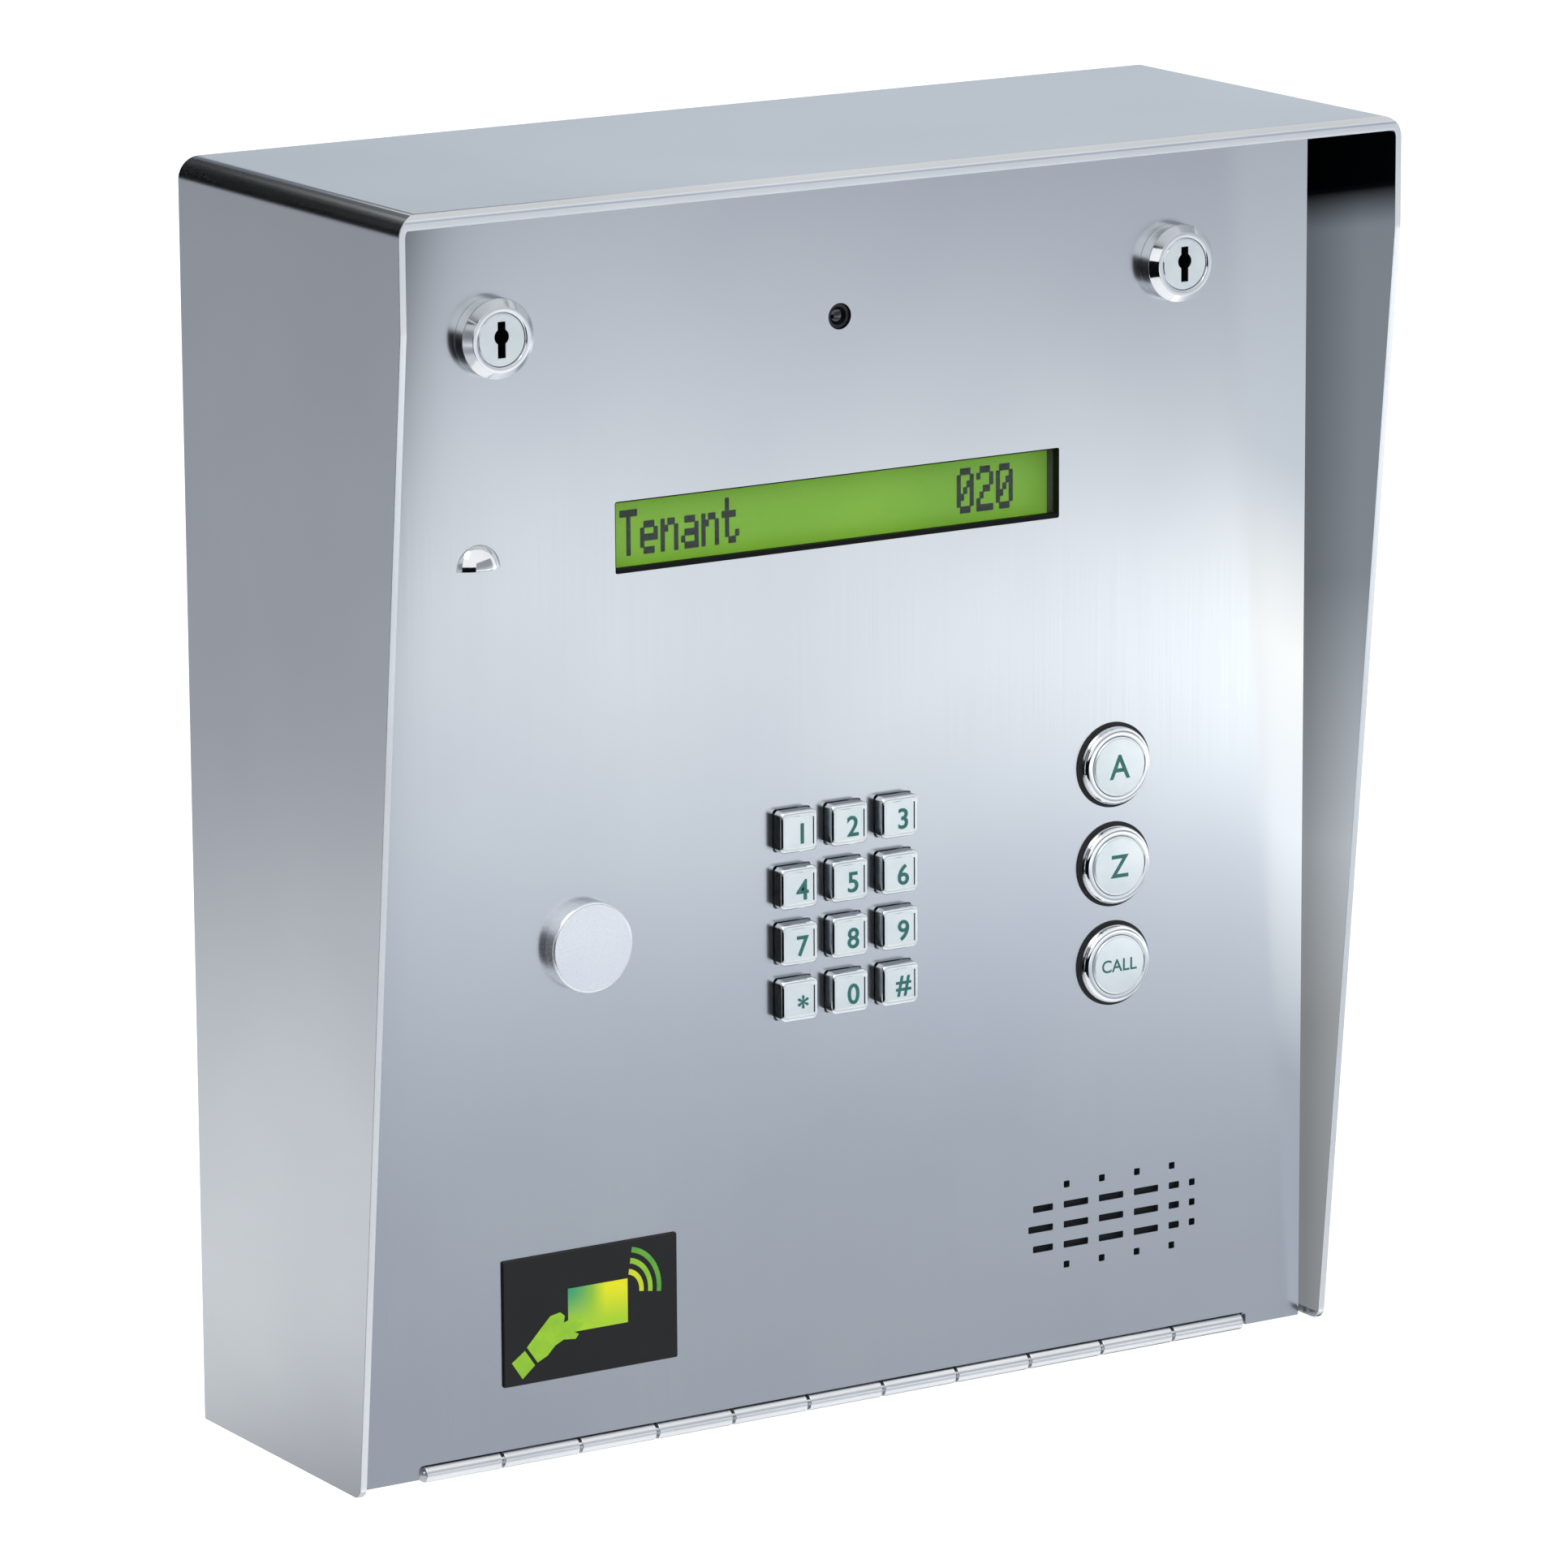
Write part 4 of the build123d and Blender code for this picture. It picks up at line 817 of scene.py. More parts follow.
@dataclass
class CamLocks:
    """Two cam locks: bevelled chrome heads with plugs that turn."""

    head: float = 10.5
    barrel: float = 9.5
    bore: float = 7.05
    bevel: float = 2.0
    proud: float = 6.0
    length: float = 18.0

    def build(self) -> None:
        """Builds each head, plug and cam."""
        x = abs(middle("lock_plug_left").x)
        z = middle("lock_plug_left").z
        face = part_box("door_panel")[0].y
        heads = []
        for side in (-1, 1):
            profile = [
                (self.barrel, self.length),
                (self.barrel, 0.0),
                (self.head, 0.0),
                (self.head, -self.proud + self.bevel),
                (self.head - self.bevel, -self.proud),
                (self.bore + 0.35, -self.proud),
                (self.bore, -self.proud + 0.35),
                (self.bore, self.length),
                (self.barrel, self.length),
            ]
            heads.append(turned(f"lock_head_{side}", Vector((side * x, face, z)), profile, hollow=True))
        body = smooth(joined("lock_heads", heads), 0.15, 30)
        settle(body, "door", "chrome", "lock_bodies")
        for name in ("left", "right"):
            plug = stand_in(f"lock_plug_{name}", SOFT_EDGE, finish=CHROME)
            plug.data.materials.append(material(KEYWAY_DARK))
            plug.data.materials.append(material(BUTTON_FACE))
            axis = middle(f"lock_plug_{name}")
            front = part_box(f"lock_plug_{name}")[0].y
            for side in plug.data.polygons:
                away = math.hypot(side.center.x - axis.x, side.center.z - axis.z)
                if away < 5 * MM and front + 0.25 * MM < side.center.y < front + 10 * MM:
                    # Faces inside the keyway take the near-black painted shade.
                    side.material_index = 1
                elif side.center.y < front + 0.1 * MM:
                    side.material_index = 2
            stand_in(f"lock_cam_{name}", 0.2)


@dataclass
class FrontFittings:
    """Lock cover, camera and microphone louvre."""

    cover: float = 12.15
    rise: float = 4.2
    crown: float = 0.8  # rounding of the cover's rim
    crown_steps: int = 4
    stem: tuple[float, float] = (9.5, 12.0)
    lens: float = 2.3

    def build(self) -> None:
        """Builds the cover, the lens in its pocket and the louvre with its capsule."""
        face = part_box("door_panel")[0].y
        centre = middle("lock_cover")
        rim = -self.rise + self.crown
        steps = [self.stem, (self.stem[0], 0), (self.cover, 0), (self.cover, rim)]
        for i in range(1, self.crown_steps + 1):
            turn = i / self.crown_steps * math.pi / 2
            inward = self.crown * (1 - math.cos(turn))
            steps.append((self.cover - inward, -self.rise + self.crown * (1 - math.sin(turn))))
        cap = smooth(turned("lock_cover_cap", Vector((centre.x, face, centre.z)), steps), 0.0, 40)
        settle(cap, "door", "cover_steel", "lock_cover")
        stand_in("camera_module", FINE_EDGE)
        eye = middle("camera_module")
        place = Vector((0, face + 1.9 * MM, eye.z))
        dome = [(self.lens, 0.1), (self.lens, 0), (1.9, -0.45), (1.2, -0.8), (0.5, -0.95), (0.05, -0.98)]
        settle(smooth(turned("camera_lens", place, dome, sides=40), 0, 60), "door", "black_plastic", finish=LENS)
        stand_in("microphone_hood", 0.08)
        stand_in("microphone_boot", FINE_EDGE)
        stand_in("microphone", FINE_EDGE)


@dataclass
class Display:
    """Backlit display behind a clear window, with dot characters."""

    pitch: tuple[float, float] = (1.02, 1.72)  # between dots, mm
    dot: tuple[float, float] = (1.3, 1.9)
    advance: float = 6.2  # between characters, mm
    left: float = -62.6
    right: float = 41.5
    base: float = -5.8  # lowest dots, from the display's middle
    opening: tuple[float, float] = (137.5, 19.0)
    lining: float = 0.35  # thickness of the black edge trim
    sill: float = 0.9  # how much thicker it is along the bottom
    glyphs: dict[str, tuple[str, ...]] = field(
        default_factory=lambda: {
            "T": ("11111", "00100", "00100", "00100", "00100", "00100", "00100"),
            "e": ("00000", "00000", "01110", "10001", "11111", "10000", "01110"),
            "n": ("00000", "00000", "10110", "11001", "10001", "10001", "10001"),
            "a": ("00000", "00000", "01110", "00001", "01111", "10001", "01111"),
            "t": ("01000", "01000", "11110", "01000", "01000", "01001", "00110"),
            "0": ("01110", "10001", "10011", "10101", "11001", "10001", "01110"),
            "2": ("01110", "10001", "00001", "00110", "01000", "10000", "11111"),
        }
    )

    def dots(self, text: str, start: float) -> list[Vector]:
        """Places of the dark dots of a text.

        Args:
            text: Letters that have a glyph.
            start: Left edge of the first one, mm from the display's middle.

        Returns:
            How far each dot lies from the display's middle, metres.
        """
        places = []
        for i, letter in enumerate(text):
            for row, bits in enumerate(self.glyphs[letter]):
                for column, bit in enumerate(bits):
                    if bit == "1":
                        x = start + i * self.advance + column * self.pitch[0]
                        places.append(Vector((x, 0, self.base + (6 - row) * self.pitch[1])) * MM)
        return places

    def edge_trim(self, height: float) -> bpy.types.Object:
        """Black trim that lines the cut edge of the door's opening.

        Args:
            height: Middle of the display, metres.

        Returns:
            The trim, a frame as deep as the door's sheet.
        """
        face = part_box("door_panel")[0].y
        half = Vector((self.opening[0] / 2 - 0.02, 0, self.opening[1] / 2 - 0.02)) * MM
        low = Vector((-half.x, face + 0.25 * MM, height - half.z))
        trim = slab("display_edge_trim", low, Vector((half.x, face + 1.98 * MM, height + half.z)), 0.55)
        with editing(trim):
            pick(trim, "faces", lambda f: abs(f.normal.y) > 0.9)
            bpy.ops.mesh.inset(thickness=self.lining * MM)
            bpy.ops.mesh.bridge_edge_loops()
        inner_x, inner_z = half.x - (self.lining - 0.02) * MM, low.z + (self.lining - 0.02) * MM
        with editing(trim, "VERT"):
            pick(trim, "verts", lambda v: abs(v.co.x) < inner_x and inner_z < v.co.z < inner_z + 0.3 * MM)
            bpy.ops.transform.translate(value=(0, 0, self.sill * MM))
        return smooth(trim)

    def build(self) -> None:
        """Builds the window, gasket, glass, its characters and the board behind."""
        module = fair_copy("display_module", FINE_EDGE)
        settle(module, "door", "display_green", "display_module")
        module.data.materials.append(material(LCD_RIM))
        low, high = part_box("display_module")
        view = low.y + 0.5 * MM
        for face in module.data.polygons:
            inside = abs(face.center.z - middle("display_module").z) < 11.5 * MM
            if not (inside and face.center.y > view and face.normal.y < -0.9 and face.area > 1e-5):
                face.material_index = 1
        for node in ("display_window", "display_gasket", "display_board"):
            stand_in(node, FINE_EDGE)
        middle_z = middle("display_module").z
        glass = low.y + 0.6 * MM
        half = Vector((self.dot[0] / 2 * MM, 0.03 * MM, self.dot[1] / 2 * MM))
        place = Vector((0, glass - 0.03 * MM, middle_z))
        dot = slab("lcd_dot", place - half, place + half, 0.15, 2)
        settle(self.edge_trim(middle_z), "door", "seal_rubber", finish=LCD_RIM)
        marks = self.dots("Tenant", self.left) + self.dots("020", self.right)
        settle(repeated("display_characters", dot, marks), "door", "display_green", finish=LCD_DOT)


@dataclass
class Keypad:
    """Twelve plated keys with filled legends, over a moulded frame and mat."""

    key: tuple[float, float] = (11.4, 11.2)
    corner: float = 1.4
    crown: float = 0.9  # rounding of the key's front
    dish: float = 0.2  # hollow of the key's face, mm
    legend: float = 5.4
    signs: dict[str, str] = field(default_factory=lambda: {"star": "*", "hash": "#"})

    def master(self) -> bpy.types.Object:
        """One key, modelled at the first key's place.

        Returns:
            The key, which the others are copied from.
        """
        low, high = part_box("key_1")
        centre = (low + high) / 2
        half = Vector((self.key[0] / 2 * MM, 0, self.key[1] / 2 * MM))
        flange = high - centre - half
        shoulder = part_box("door_panel")[0].y + 2.05 * MM
        front = low.y + self.crown * MM
        key = slab(
            "key_master",
            Vector((centre.x - half.x, front, centre.z - half.z)),
            Vector((centre.x + half.x, shoulder, centre.z + half.z)),
            self.corner,
        )
        with editing(key):
            pick(key, "faces", lambda f: f.normal.y < -0.9)
            reach, depth = 0.0, 0.0
            for i in range(1, 6):
                turn = i / 5 * math.pi / 2
                next_reach, next_depth = self.crown * (1 - math.cos(turn)), self.crown * math.sin(turn)
                bpy.ops.mesh.extrude_region_move(TRANSFORM_OT_translate={"value": (0, (depth - next_depth) * MM, 0)})
                ratio = [(h - next_reach * MM) / (h - reach * MM) for h in (half.x, half.z)]
                bpy.ops.transform.resize(value=(ratio[0], 1, ratio[1]), center_override=centre)
                reach, depth = next_reach, next_depth
            bpy.ops.mesh.inset(thickness=0.35 * MM)
            bpy.ops.mesh.inset(thickness=0.25 * MM, depth=-self.dish * MM)
            pick(key, "faces", lambda f: f.normal.y > 0.9 and f.calc_center_median().y > shoulder - 0.01 * MM)
            bpy.ops.mesh.extrude_region_move()
            ratio = (1 + flange.x / half.x, 1, 1 + flange.z / half.z)
            bpy.ops.transform.resize(value=ratio, center_override=centre)
            bpy.ops.mesh.extrude_region_move(TRANSFORM_OT_translate={"value": (0, 1.5 * MM, 0)})
            bpy.ops.mesh.extrude_region_move()
            bpy.ops.transform.resize(value=(0.3, 1, 0.3), center_override=centre)
            bpy.ops.mesh.extrude_region_move(TRANSFORM_OT_translate={"value": (0, high.y - shoulder - 1.5 * MM, 0)})
            bpy.ops.mesh.select_all(action="SELECT")
            bpy.ops.mesh.remove_doubles(threshold=0.001 * MM)
            bpy.ops.mesh.normals_make_consistent(inside=False)
        return smooth(key, 0.0, 35)

    def build(self) -> None:
        """Builds the keys, their legends and what lies behind them."""
        master = self.master()
        first = middle("key_1")
        for name in KEY_NAMES:
            node = f"key_{name}"
            shift = middle(node) - first
            key = bpy.data.objects.new(f"{node}_cap", master.data.copy())
            bpy.context.scene.collection.objects.link(key)
            key.data.transform(Matrix.Translation(shift))
            settle(key, node, SLOT_OF[node], node, finish=KEY_PLATE)
            key.data.materials.append(material(BUTTON_FACE))
            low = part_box(node)[0]
            for side in key.data.polygons:
                if side.normal.y < -0.9 and side.center.y < low.y + 0.3 * MM:
                    side.material_index = 1
            place = Vector((middle(node).x + 0.9 * MM, low.y + self.dish * MM, middle(node).z - 0.6 * MM))
            legend = lettering(f"{node}_legend", self.signs.get(name, name), place, self.legend, 0.12)
            settle(legend, node, "legend_green")
        bpy.data.objects.remove(master)
        for node in ("keypad_frame", "keypad_mat", "keypad_board"):
            stand_in(node, SHEET_EDGE)


@dataclass
class RoundButtons:
    """Three push buttons: sloping chrome bezels round pale caps."""

    seal: float = 11.7
    bezel: float = 10.85
    front: float = 9.4
    squash: float = 0.45  # thickness of the seal under the bezel
    proud: float = 3.0
    cap: float = 8.2
    length: float = 16.5
    letters: dict[str, tuple[str, float]] = field(
        default_factory=lambda: {"a": ("A", 6.6), "z": ("Z", 6.2), "call": ("CALL", 3.4)}
    )

    def build(self) -> None:
        """Builds the bezels, the caps with their letters, and the switches."""
        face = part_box("door_panel")[0].y
        bezels, seals = [], []
        for name in BUTTON_NAMES:
            node = f"button_{name}"
            centre = middle(node)
            axis = Vector((centre.x, face, centre.z))
            bore = self.cap + 0.06
            ring = [(9.5, 0.0), (self.seal, 0.0), (self.seal, -self.squash), (9.5, -self.squash), (9.5, 0.0)]
            seals.append(turned(f"bezel_seal_{name}", axis, ring, hollow=True))
            profile = [(9.5, self.length), (9.5, -self.squash), (self.bezel, -self.squash), (self.bezel, -0.8)]
            for i in range(1, 6):
                turn = i / 5 * math.pi / 2
                radius = self.front + (self.bezel - self.front) * math.cos(turn)
                profile.append((radius, -0.8 - (self.proud - 0.8) * math.sin(turn)))
            profile += [(bore + 0.3, -self.proud), (bore, -self.proud + 0.3), (bore, 2.4), (4.6, 2.4)]
            profile += [(4.6, self.length), (9.5, self.length)]
            bezels.append(turned(f"bezel_{name}", axis, profile, hollow=True))
            low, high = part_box(node)
            top = (low.y - face) / MM
            crown = [(4.5, (high.y - face) / MM), (4.5, top + 3.4), (self.cap, top + 3.4), (self.cap, top + 0.6)]
            crown += [(self.cap - 0.18, top + 0.22), (self.cap - 0.6, top), (0.3, top + 0.02)]
            cap = smooth(turned(f"{node}_cap", axis, crown), 0.0, 40)
            settle(cap, node, SLOT_OF[node], node)
            letters, height = self.letters[name]
            place = Vector((centre.x, low.y + 0.03 * MM, centre.z))
            legend = lettering(f"{node}_legend", letters, place, height, 0.03)
            settle(legend, node, "legend_green")
        settle(smooth(joined("button_bezels", bezels), 0.12, 30), "door", "chrome", "button_bodies")
        settle(smooth(joined("bezel_seals", seals), 0.1, 30), "door", "seal_rubber")
        stand_in("button_switches", SOFT_EDGE)


@dataclass
class CardReader:
    """Smoked reading face with a printed pictogram: a hand that holds a card to a reader."""

    size: tuple[float, float] = (53.2, 34.5)
    card: tuple[float, float, float, float] = (19.6, 12.2, 37.8, 24.2)
    waves: tuple[float, float, float] = (5.2, 8.2, 11.2)
    wave_centre: tuple[float, float] = (37.4, 20.8)
    ink: float = 0.04
    sleeve: tuple[tuple[float, float], ...] = ((2.4, 6.6), (5.6, 1.8), (9.4, 5.0), (6.4, 9.4))
    hand: tuple[tuple[float, float], ...] = (
        (7.0, 10.2), (10.2, 5.6), (13.2, 7.0), (15.6, 9.4), (18.2, 10.6), (21.8, 10.2), (22.8, 11.4),
        (21.4, 12.2), (23.2, 12.8), (24.2, 14.0), (23.2, 14.8), (21.6, 14.2), (23.6, 16.0), (22.8, 17.2),
        (20.4, 15.8), (18.2, 15.2), (18.6, 17.0), (17.2, 18.2), (14.2, 17.6), (11.2, 14.6),
    )  # fmt: skip

    def build(self) -> None:
        """Builds the face, the pictogram and the potted module."""
        low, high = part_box("reader_window")
        stand_in("reader_window", FINE_EDGE)
        stand_in("reader_module", 0.2)
        centre = (low + high) / 2
        corner = Vector((centre.x - self.size[0] / 2 * MM, low.y, centre.z - self.size[1] / 2 * MM))
        left, bottom, right, top = self.card
        points = [(left, bottom), (right, bottom), (right, top), (left, top)]
        card = outline("pictogram_card", points, corner, self.ink)
        # The faded print also carries a faint painted glow.
        print_finish = CardPrint(
            "screen_print_fade", "#AEDA28", "#9DD62A", 0.4, 0.05, (0.3, 0.3, 0.3), 0.002, patch=5, glow=0.15,
            corner=(corner.x / MM + left, corner.z / MM + bottom), size=(right - left, top - bottom),
        )  # fmt: skip
        settle(card, "door", "reader_face", finish=print_finish)
        middle_x, middle_z = self.wave_centre
        for radius, ink in zip(self.waves, (YELLOW_INK, LIME_INK, GREEN_INK)):
            ring = []
            for edge, order in ((radius + 0.75, 1), (radius - 0.75, -1)):
                arc = [math.radians(-8 + i * 8) for i in range(12)][::order]
                ring += [(middle_x + edge * math.cos(a) * 0.9, middle_z + edge * math.sin(a)) for a in arc]
            wave = outline(f"pictogram_wave_{ink.name.split('_')[-1]}", ring, corner, self.ink)
            settle(wave, "door", "reader_face", finish=ink)
        sleeve = outline("pictogram_sleeve", self.sleeve, corner, self.ink)
        hand = outline("pictogram_hand", self.hand, corner, self.ink * 1.5)
        settle(joined("pictogram_arm", [hand, sleeve]), "door", "reader_face", finish=LIME_INK)


@dataclass
class Loudspeaker:
    """Oval loudspeaker behind the slots."""

    nodes: tuple[str, ...] = ("speaker_screen", "speaker_basket", "speaker_cone", "speaker_magnet")

    def build(self) -> None:
        """Builds the screen, basket, cone and magnet."""
        for node in self.nodes:
            stand_in(node, SOFT_EDGE)


@dataclass
class ControlBoard:
    """Main circuit board with its terminals, relays, chips and small parts."""

    nodes: tuple[str, ...] = (
        "main_board", "board_posts", "terminal_blocks", "relays", "board_chips", "board_capacitors",
    )  # fmt: skip
    ways: int = 12
    strip: float = 62.0  # length of one terminal strip, mm
    chips: tuple[tuple[float, float, float, float], ...] = (
        (-20, 12, 26, 26), (22, 18, 14, 18), (-60, 18, 12, 20), (-60, -14, 16, 10),
    )  # fmt: skip
    leg_pitch: float = 1.6
    row_pitch: float = 4.2
    rows: tuple[tuple[float, float, int], ...] = (
        (-84, 48, 6), (-84, 40, 6), (4, 44, 5), (-40, -20, 6), (-40, -28, 6), (8, -12, 7), (60, 6, 5), (60, -2, 5),
    )  # fmt: skip

    def terminal_screws(self) -> bpy.types.Object:
        """Slotted screw in each pocket of both terminal strips.

        Returns:
            All the screws, as one piece.
        """
        low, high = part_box("terminal_blocks")
        width = self.strip * MM
        screw = turned("terminal_screw", Vector((0, 0, 0)), [(1.35, 1.2), (1.35, 0.15), (1.15, 0.0)], sides=20)
        with editing(screw):
            bpy.ops.mesh.select_all(action="SELECT")
            bpy.ops.mesh.bisect(plane_co=(0, 0, 0.2 * MM), plane_no=(0, 0, 1))
            bpy.ops.mesh.select_all(action="SELECT")
            bpy.ops.mesh.bisect(plane_co=(0, 0, -0.2 * MM), plane_no=(0, 0, 1))
            pick(screw, "faces", lambda f: f.normal.y < -0.9 and abs(f.calc_center_median().z) < 0.1 * MM)
            bpy.ops.mesh.extrude_region_move(TRANSFORM_OT_translate={"value": (0, 0.5 * MM, 0)})
        shifts = []
        for start in (low.x, high.x - width):
            for i in range(self.ways):
                x = start + (i + 0.5) * width / self.ways
                shifts.append(Vector((x, low.y + 0.75 * MM, (low.z + high.z) / 2 + 1 * MM)))
        return repeated("terminal_screws", screw, shifts)

    def chip_legs(self, face: float, centre: float) -> bpy.types.Object:
        """Rows of bent legs along both sides of each chip.

        Args:
            face: Front of the board, metres.
            centre: Height of the board's middle, metres.

        Returns:
            All the legs, as one piece.
        """
        half = Vector((0.25, 0.6, 0.55)) * MM
        leg = slab("chip_leg", Vector((0, face - 0.6 * MM, centre)) - half, Vector((0, face - 0.6 * MM, centre)) + half)
        with editing(leg):
            pick(leg, "faces", lambda f: f.normal.z > 0.9)
            bpy.ops.transform.translate(value=(0, 0, 0.35 * MM))
            bpy.ops.transform.resize(value=(1, 0.5, 1), center_override=(0, face - 0.9 * MM, centre))
        smooth(leg, 0.05)
        shifts = []
        for x, z, width, height in self.chips:
            count = int((width - 2) / self.leg_pitch)
            for i in range(count):
                across = (x - (count - 1) / 2 * self.leg_pitch + i * self.leg_pitch) * MM
                for side in (-1, 1):
                    shifts.append(Vector((across, 0, (z + side * (height / 2 + 0.3)) * MM)))
        return repeated("chip_legs", leg, shifts)

    def small_parts(self, face: float, centre: float) -> bpy.types.Object:
        """Surface-mounted resistors and capacitors in short rows.

        Args:
            face: Front of the board, metres.
            centre: Height of the board's middle, metres.

        Returns:
            All of them, as one piece.
        """
        half = Vector((1.0, 0.45, 0.6)) * MM
        place = Vector((0, face - 0.45 * MM, centre))
        part = slab("surface_part", place - half, place + half)
        with editing(part):
            pick(part, "faces", lambda f: abs(f.normal.x) > 0.9)
            bpy.ops.mesh.inset(thickness=0.12 * MM, depth=0.1 * MM)
        smooth(part, 0.06)
        shifts = []
        for x, z, count in self.rows:
            shifts += [Vector(((x + i * self.row_pitch) * MM, 0, z * MM)) for i in range(count)]
        return repeated("board_small_parts", part, shifts)

    def build(self) -> None:
        """Builds the board and what is soldered to it."""
        for node in self.nodes:
            stand_in(node, SOFT_EDGE)
        low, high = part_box("main_board")
        centre = (low.z + high.z) / 2
        settle(self.terminal_screws(), "housing", "zinc_fixings")
        settle(self.chip_legs(low.y, centre), "housing", "zinc_fixings", finish=SOLDER)
        settle(self.small_parts(low.y, centre), "housing", "circuit_board", finish=CERAMIC)


# --- Studio --------------------------------------------------------------------------------------------
@dataclass(frozen=True)
class Card:
    """A large soft reflector with its own gradient, which lights the steel and shows in it."""

    name: str
    towards: tuple[float, float, float]  # direction from the panel
    distance: float
    size: tuple[float, float]
    stops: tuple[tuple[float, str, float], ...]  # from its lower edge to its upper edge
    spot: tuple[float, float, float, float, float] = (0.5, 0.5, 0.1, 0.0, 1.0)  # u, v, radius, change, stretch
    dark: tuple[float, float, float, float, float] = (0.5, 0.5, 0.1, 0.0, 1.0)

    def glow(self) -> bpy.types.Material:
        """Emission that follows the card's height, with a brighter and a darker patch.

        Returns:
            The card's material.
        """
        made = blank_material(f"studio_{self.name}")
        tree = made.node_tree
        place = add(tree, "ShaderNodeTexCoord", {}).outputs["UV"]
        parts = add(tree, "ShaderNodeSeparateXYZ", {"Vector": place})
        colour = add(tree, "ShaderNodeValToRGB", {"Fac": parts.outputs["Y"]}, self.stops).outputs["Color"]
        strength = None
        for u, v, radius, change, stretch in (self.spot, self.dark):
            start = (-u / radius / stretch, -v / radius, 0)
            scale = (1 / radius / stretch, 1 / radius, 1)
            centred = add(tree, "ShaderNodeMapping", {"Vector": place, "Location": start, "Scale": scale})
            away = add(tree, "ShaderNodeVectorMath", {0: centred.outputs[0]}, operation="LENGTH").outputs["Value"]
            limits = {"Value": away, "From Min": 0.0, "From Max": 1.0, "To Min": change, "To Max": 0.0}
            bump = add(tree, "ShaderNodeMapRange", limits, interpolation_type="SMOOTHSTEP").outputs[0]
            base = 1.0 if strength is None else strength
            strength = add(tree, "ShaderNodeMath", {0: bump, 1: base}, operation="ADD").outputs[0]
        strength = add(tree, "ShaderNodeMath", {0: strength, 1: 0.0}, operation="MAXIMUM").outputs[0]
        light = add(tree, "ShaderNodeEmission", {"Color": colour, "Strength": strength})
        add(tree, "ShaderNodeOutputMaterial", {"Surface": light.outputs[0]})
        return made

    def build(self) -> None:
        """Places the card square to the panel, out of the camera's sight."""
        clear_bench()
        bpy.ops.mesh.primitive_plane_add(size=1)
        card = bpy.context.object
        card.name = f"studio_{self.name}"
        towards = Vector(self.towards).normalized()
        across = Vector((0, 0, 1)).cross(towards).normalized()
        up = towards.cross(across)
        turn = Matrix((across, up, across.cross(up))).transposed().to_4x4()
        width, height = self.size
        size = Matrix.Diagonal((width, height, 1, 1))
        centre = Vector((0, -0.08, 0)) + towards * self.distance
        card.data.transform(Matrix.Translation(centre) @ turn @ size)
        card.data.materials.append(self.glow())
        card.visible_camera = False
        card.visible_shadow = False


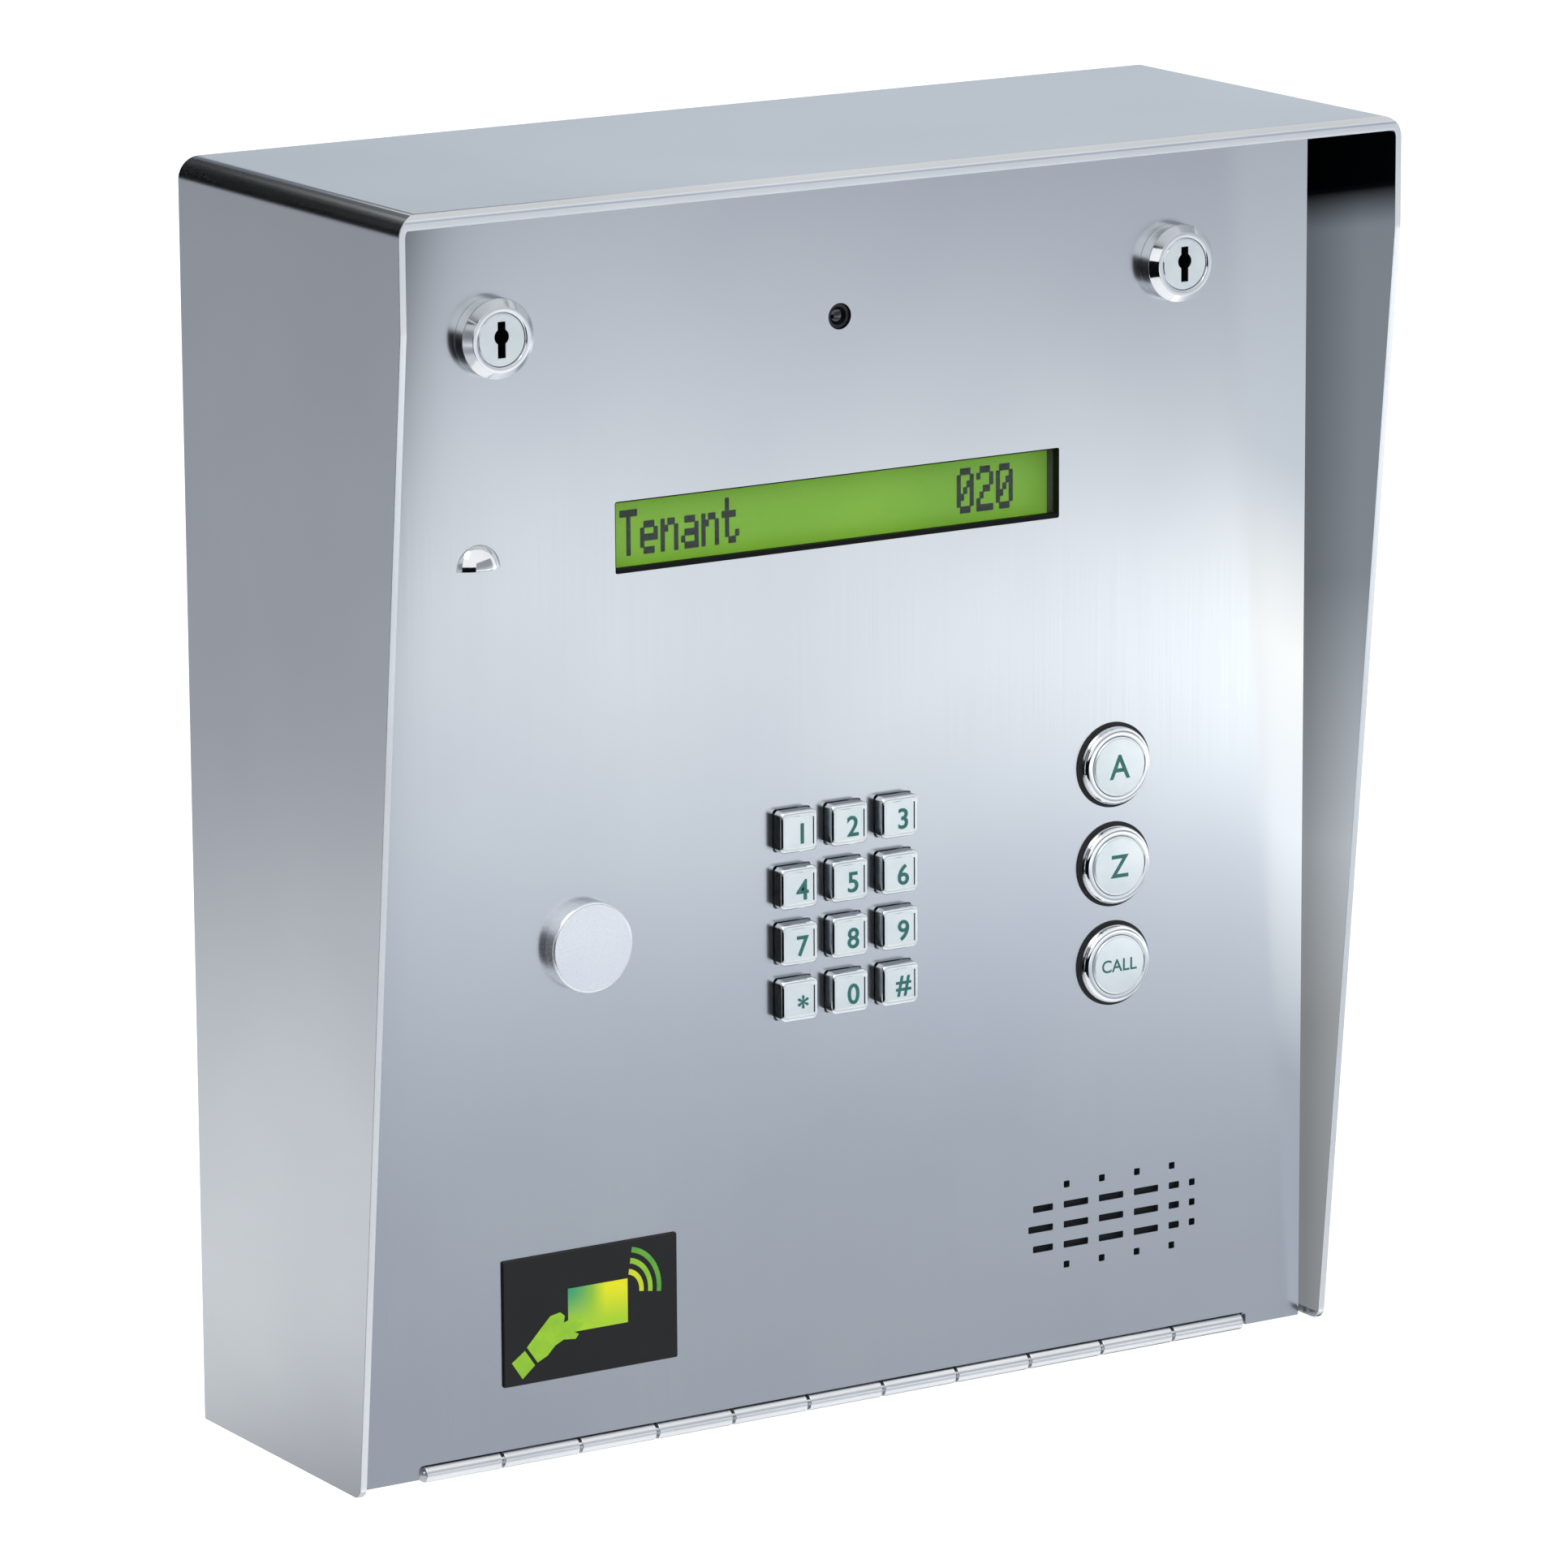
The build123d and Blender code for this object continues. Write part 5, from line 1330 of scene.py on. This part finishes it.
@dataclass(frozen=True)
class CheekCard:
    """Thin two-sided glow against the right cheek: the door mirrors one side, the cheek the other."""

    place: float = 150.1  # x, mm: 0.4 mm off the cheek's inner side
    corners: tuple[tuple[float, float], ...] = (  # y and z, mm, just inside the cheek's own outline
        (-70, -168), (-85.4, -168), (-116.2, 140.0), (-116.2, 165.5), (-70, 165.5),
    )  # fmt: skip
    lean: float = 0.2  # how much its bands climb towards the front
    span: tuple[float, float] = (-0.188, 0.152)  # heights of its first and last stop, m
    near: tuple[float, float] = (-0.0785, -0.1005)  # y between which the cheek's side gains light
    gain: tuple[float, float] = (0.75, 1.25)
    door: tuple[tuple[float, str, float], ...] = (
        (0.2, "#A8AEB4", 1.5), (0.4, "#E0E2E2", 1.9), (0.55, "#FAF8F2", 1.6), (0.7, "#C4C8CC", 1.6),
        (1.0, "#A4A8AC", 1.6),
    )  # fmt: skip
    # The cheek side ends near black at the top: mirrored in the cheek, it is a painted shade under the hood.
    cheek: tuple[tuple[float, str, float], ...] = (
        (0.25, "#C4C6C8", 0.85), (0.4, "#B8BCC0", 1.3), (0.62, "#90969C", 1.0), (0.9, "#888E96", 1.0),
        (0.93, "#020304", 1.0),
    )  # fmt: skip

    def glow(self) -> bpy.types.Material:
        """Emission that differs on the two sides.

        Returns:
            The card's material.
        """
        made = blank_material("studio_cheek")
        tree = made.node_tree
        place = add(tree, "ShaderNodeTexCoord", {}).outputs["Object"]
        parts = add(tree, "ShaderNodeSeparateXYZ", {"Vector": place})
        lean = {0: parts.outputs[1], 1: self.lean, 2: parts.outputs[2]}
        height = add(tree, "ShaderNodeMath", lean, operation="MULTIPLY_ADD").outputs[0]
        ends = {"Value": height, "From Min": self.span[0], "From Max": self.span[1]}
        share = add(tree, "ShaderNodeMapRange", ends).outputs[0]
        door = add(tree, "ShaderNodeValToRGB", {"Fac": share}, self.door).outputs[0]
        cheek = add(tree, "ShaderNodeValToRGB", {"Fac": share}, self.cheek).outputs[0]
        front = {"Value": parts.outputs[1], "From Min": self.near[1], "From Max": self.near[0]}
        front |= {"To Min": self.gain[1], "To Max": self.gain[0]}
        lit = add(tree, "ShaderNodeMapRange", front).outputs[0]
        shaded = add(tree, "ShaderNodeVectorMath", {0: cheek, "Scale": lit}, operation="SCALE").outputs[0]
        back = add(tree, "ShaderNodeNewGeometry", {}).outputs["Backfacing"]
        colour = add(tree, "ShaderNodeMix", {0: back, 6: door, 7: shaded}, data_type="RGBA").outputs[2]
        light = add(tree, "ShaderNodeEmission", {"Color": colour, "Strength": 1.0})
        add(tree, "ShaderNodeOutputMaterial", {"Surface": light.outputs[0]})
        return made

    def build(self) -> None:
        """Places the card, seen only in mirrored light, with its front towards the door."""
        clear_bench()
        bpy.ops.mesh.primitive_circle_add(vertices=len(self.corners), radius=MM, fill_type="NGON")
        card = bpy.context.object
        card.name = "studio_cheek"
        for vertex, (y, z) in zip(card.data.vertices, self.corners):
            vertex.co = Vector((self.place, y, z)) * MM
        card.data.update()
        if card.data.polygons[0].normal.x > 0:
            card.data.flip_normals()
        card.data.materials.append(self.glow())
        card.visible_camera = card.visible_shadow = card.visible_diffuse = False


@dataclass
class Studio:
    """Pale floor, soft light and the camera."""

    floor_height: float = -0.62
    lens: float = 196.96
    eye: tuple[float, float, float] = (-1.17414, -1.94908, 0.50771)
    forward: tuple[float, float, float] = (0.51240, 0.82900, -0.22410)
    roll: float = 0.337
    cards: tuple[Card | CheekCard, ...] = (
        Card(
            "front", (0.518, -0.8255, -0.224), 1.0, (1.6, 1.6),
            (
                (0.2, "#A8ACB2", 1.05), (0.42, "#BCC2CA", 1.0), (0.48, "#D8E0E8", 1.2), (0.54, "#FFFFFC", 1.4),
                (0.6, "#DCE0E6", 1.2), (0.64, "#B8BCC4", 1.15), (0.75, "#989CA4", 1.05),
            ),
            (0.67, 0.522, 0.045, 1.15, 4.2), (0.67, 0.583, 0.04, -0.38, 6.25),
        ),
        Card(
            "left", (-0.512, 0.829, -0.224), 1.0, (1.3, 1.6),
            (
                (0.35, "#92969C", 1.0), (0.39, "#F2F4F8", 1.1), (0.45, "#F2F4F8", 1.05), (0.53, "#B8BCC4", 1.0),
                (0.7, "#ACB0B8", 1.0), (0.735, "#06080A", 1.0),
            ),
        ),
        Card("sky", (0.47, 0.829, 0.25), 1.0, (0.92, 0.6), ((0.2, "#CFD8E1", 1.0), (0.8, "#D4DDE6", 1.0))),
        Card("band", (-0.30, 0.829, 0.44), 0.95, (0.8, 0.5), ((0.2, "#050608", 1.0), (0.8, "#050608", 1.0))),
        Card("band_end", (0.16, 0.829, 0.56), 1.02, (0.5, 0.45), ((0.2, "#6C747E", 1.0), (0.8, "#6C747E", 1.0))),
        Card("dark", (-0.574, -0.819, -0.21), 1.1, (1.3, 0.9), ((0.2, "#080A0E", 1.0), (0.8, "#0A0C10", 1.0))),
        Card("dark_side", (-1.0, -0.02, 0.12), 1.1, (1.0, 1.4), ((0.2, "#080A0E", 1.0), (0.8, "#0A0C10", 1.0))),
        Card("under", (0.512, 0.5, -0.65), 0.52, (0.9, 0.3), ((0.2, "#101215", 1.0), (0.8, "#101215", 1.0))),
        CheekCard(),
    )  # fmt: skip

    def floor(self) -> None:
        """A plain pale floor, well below the panel and its open door."""
        clear_bench()
        bpy.ops.mesh.primitive_plane_add(size=60, location=(0, 0, self.floor_height))
        floor = added("studio_floor")
        paint = Finish("studio_pale_floor", "#FBFBFB", "#FFFFFF", 0.9, 0.02, (40, 40, 40), 0.01, patch=900, glow=0.25)
        floor.data.materials.append(material(paint))

    def lamps(self) -> None:
        """A white surround and one broad lamp high on the left."""
        world = bpy.data.worlds.new("studio_world")
        world.use_nodes = True
        world.node_tree.nodes["Background"].inputs["Color"].default_value = linear("#FFFFFF")
        world.node_tree.nodes["Background"].inputs["Strength"].default_value = 1.0
        bpy.context.scene.world = world
        bpy.ops.object.light_add(type="AREA", location=(-1.1, -1.0, 1.9))
        lamp = bpy.context.object
        lamp.name = "studio_lamp"
        lamp.data.energy, lamp.data.size = 14.0, 1.2
        lamp.rotation_euler = (Vector((0, 0, 0)) - lamp.location).to_track_quat("-Z", "Y").to_euler()

    def camera(self) -> None:
        """A long lens, looking down from the panel's left."""
        forward = Vector(self.forward).normalized()
        right = forward.cross(Vector((0, 0, 1))).normalized()
        down = forward.cross(right).normalized()
        turn = math.radians(self.roll)
        level = math.cos(turn) * right + math.sin(turn) * down
        plumb = math.cos(turn) * down - math.sin(turn) * right
        data = bpy.data.cameras.new("camera")
        data.lens, data.sensor_width, data.clip_end = self.lens, 36.0, 60.0
        camera = bpy.data.objects.new("camera", data)
        bpy.context.scene.collection.objects.link(camera)
        camera.matrix_world = Matrix.Translation(self.eye) @ Matrix((level, -plumb, -forward)).transposed().to_4x4()
        bpy.context.scene.camera = camera

    def build(self) -> None:
        """Sets up the studio."""
        bpy.context.scene.view_settings.view_transform = "Standard"
        self.floor()
        self.lamps()
        self.camera()
        for card in self.cards:
            card.build()
            log.info("%s placed", type(card).__name__)


def dress_rest() -> None:
    """Gives each CAD node that still shows the finish of its slot."""
    for node, piece in NODES.items():
        if not piece.hide_render:
            piece.data.materials.clear()
            piece.data.materials.append(material(SLOT_FINISH[SLOT_OF[node]]))
            log.info("%s keeps its CAD shape", node)


def main() -> None:
    """Builds every sub-assembly in order, then the studio."""
    logging.basicConfig(level=logging.INFO, format="%(name)s: %(message)s")
    bpy.ops.object.select_all(action="DESELECT")
    assemblies = (
        Enclosure(), Hinge(), Door(), CamLocks(), FrontFittings(), Display(), Keypad(), RoundButtons(),
        CardReader(), Loudspeaker(), ControlBoard(), Studio(),
    )  # fmt: skip
    for assembly in assemblies:
        log.info("building %s", type(assembly).__name__)
        assembly.build()
    dress_rest()


if __name__ == "__main__":
    main()
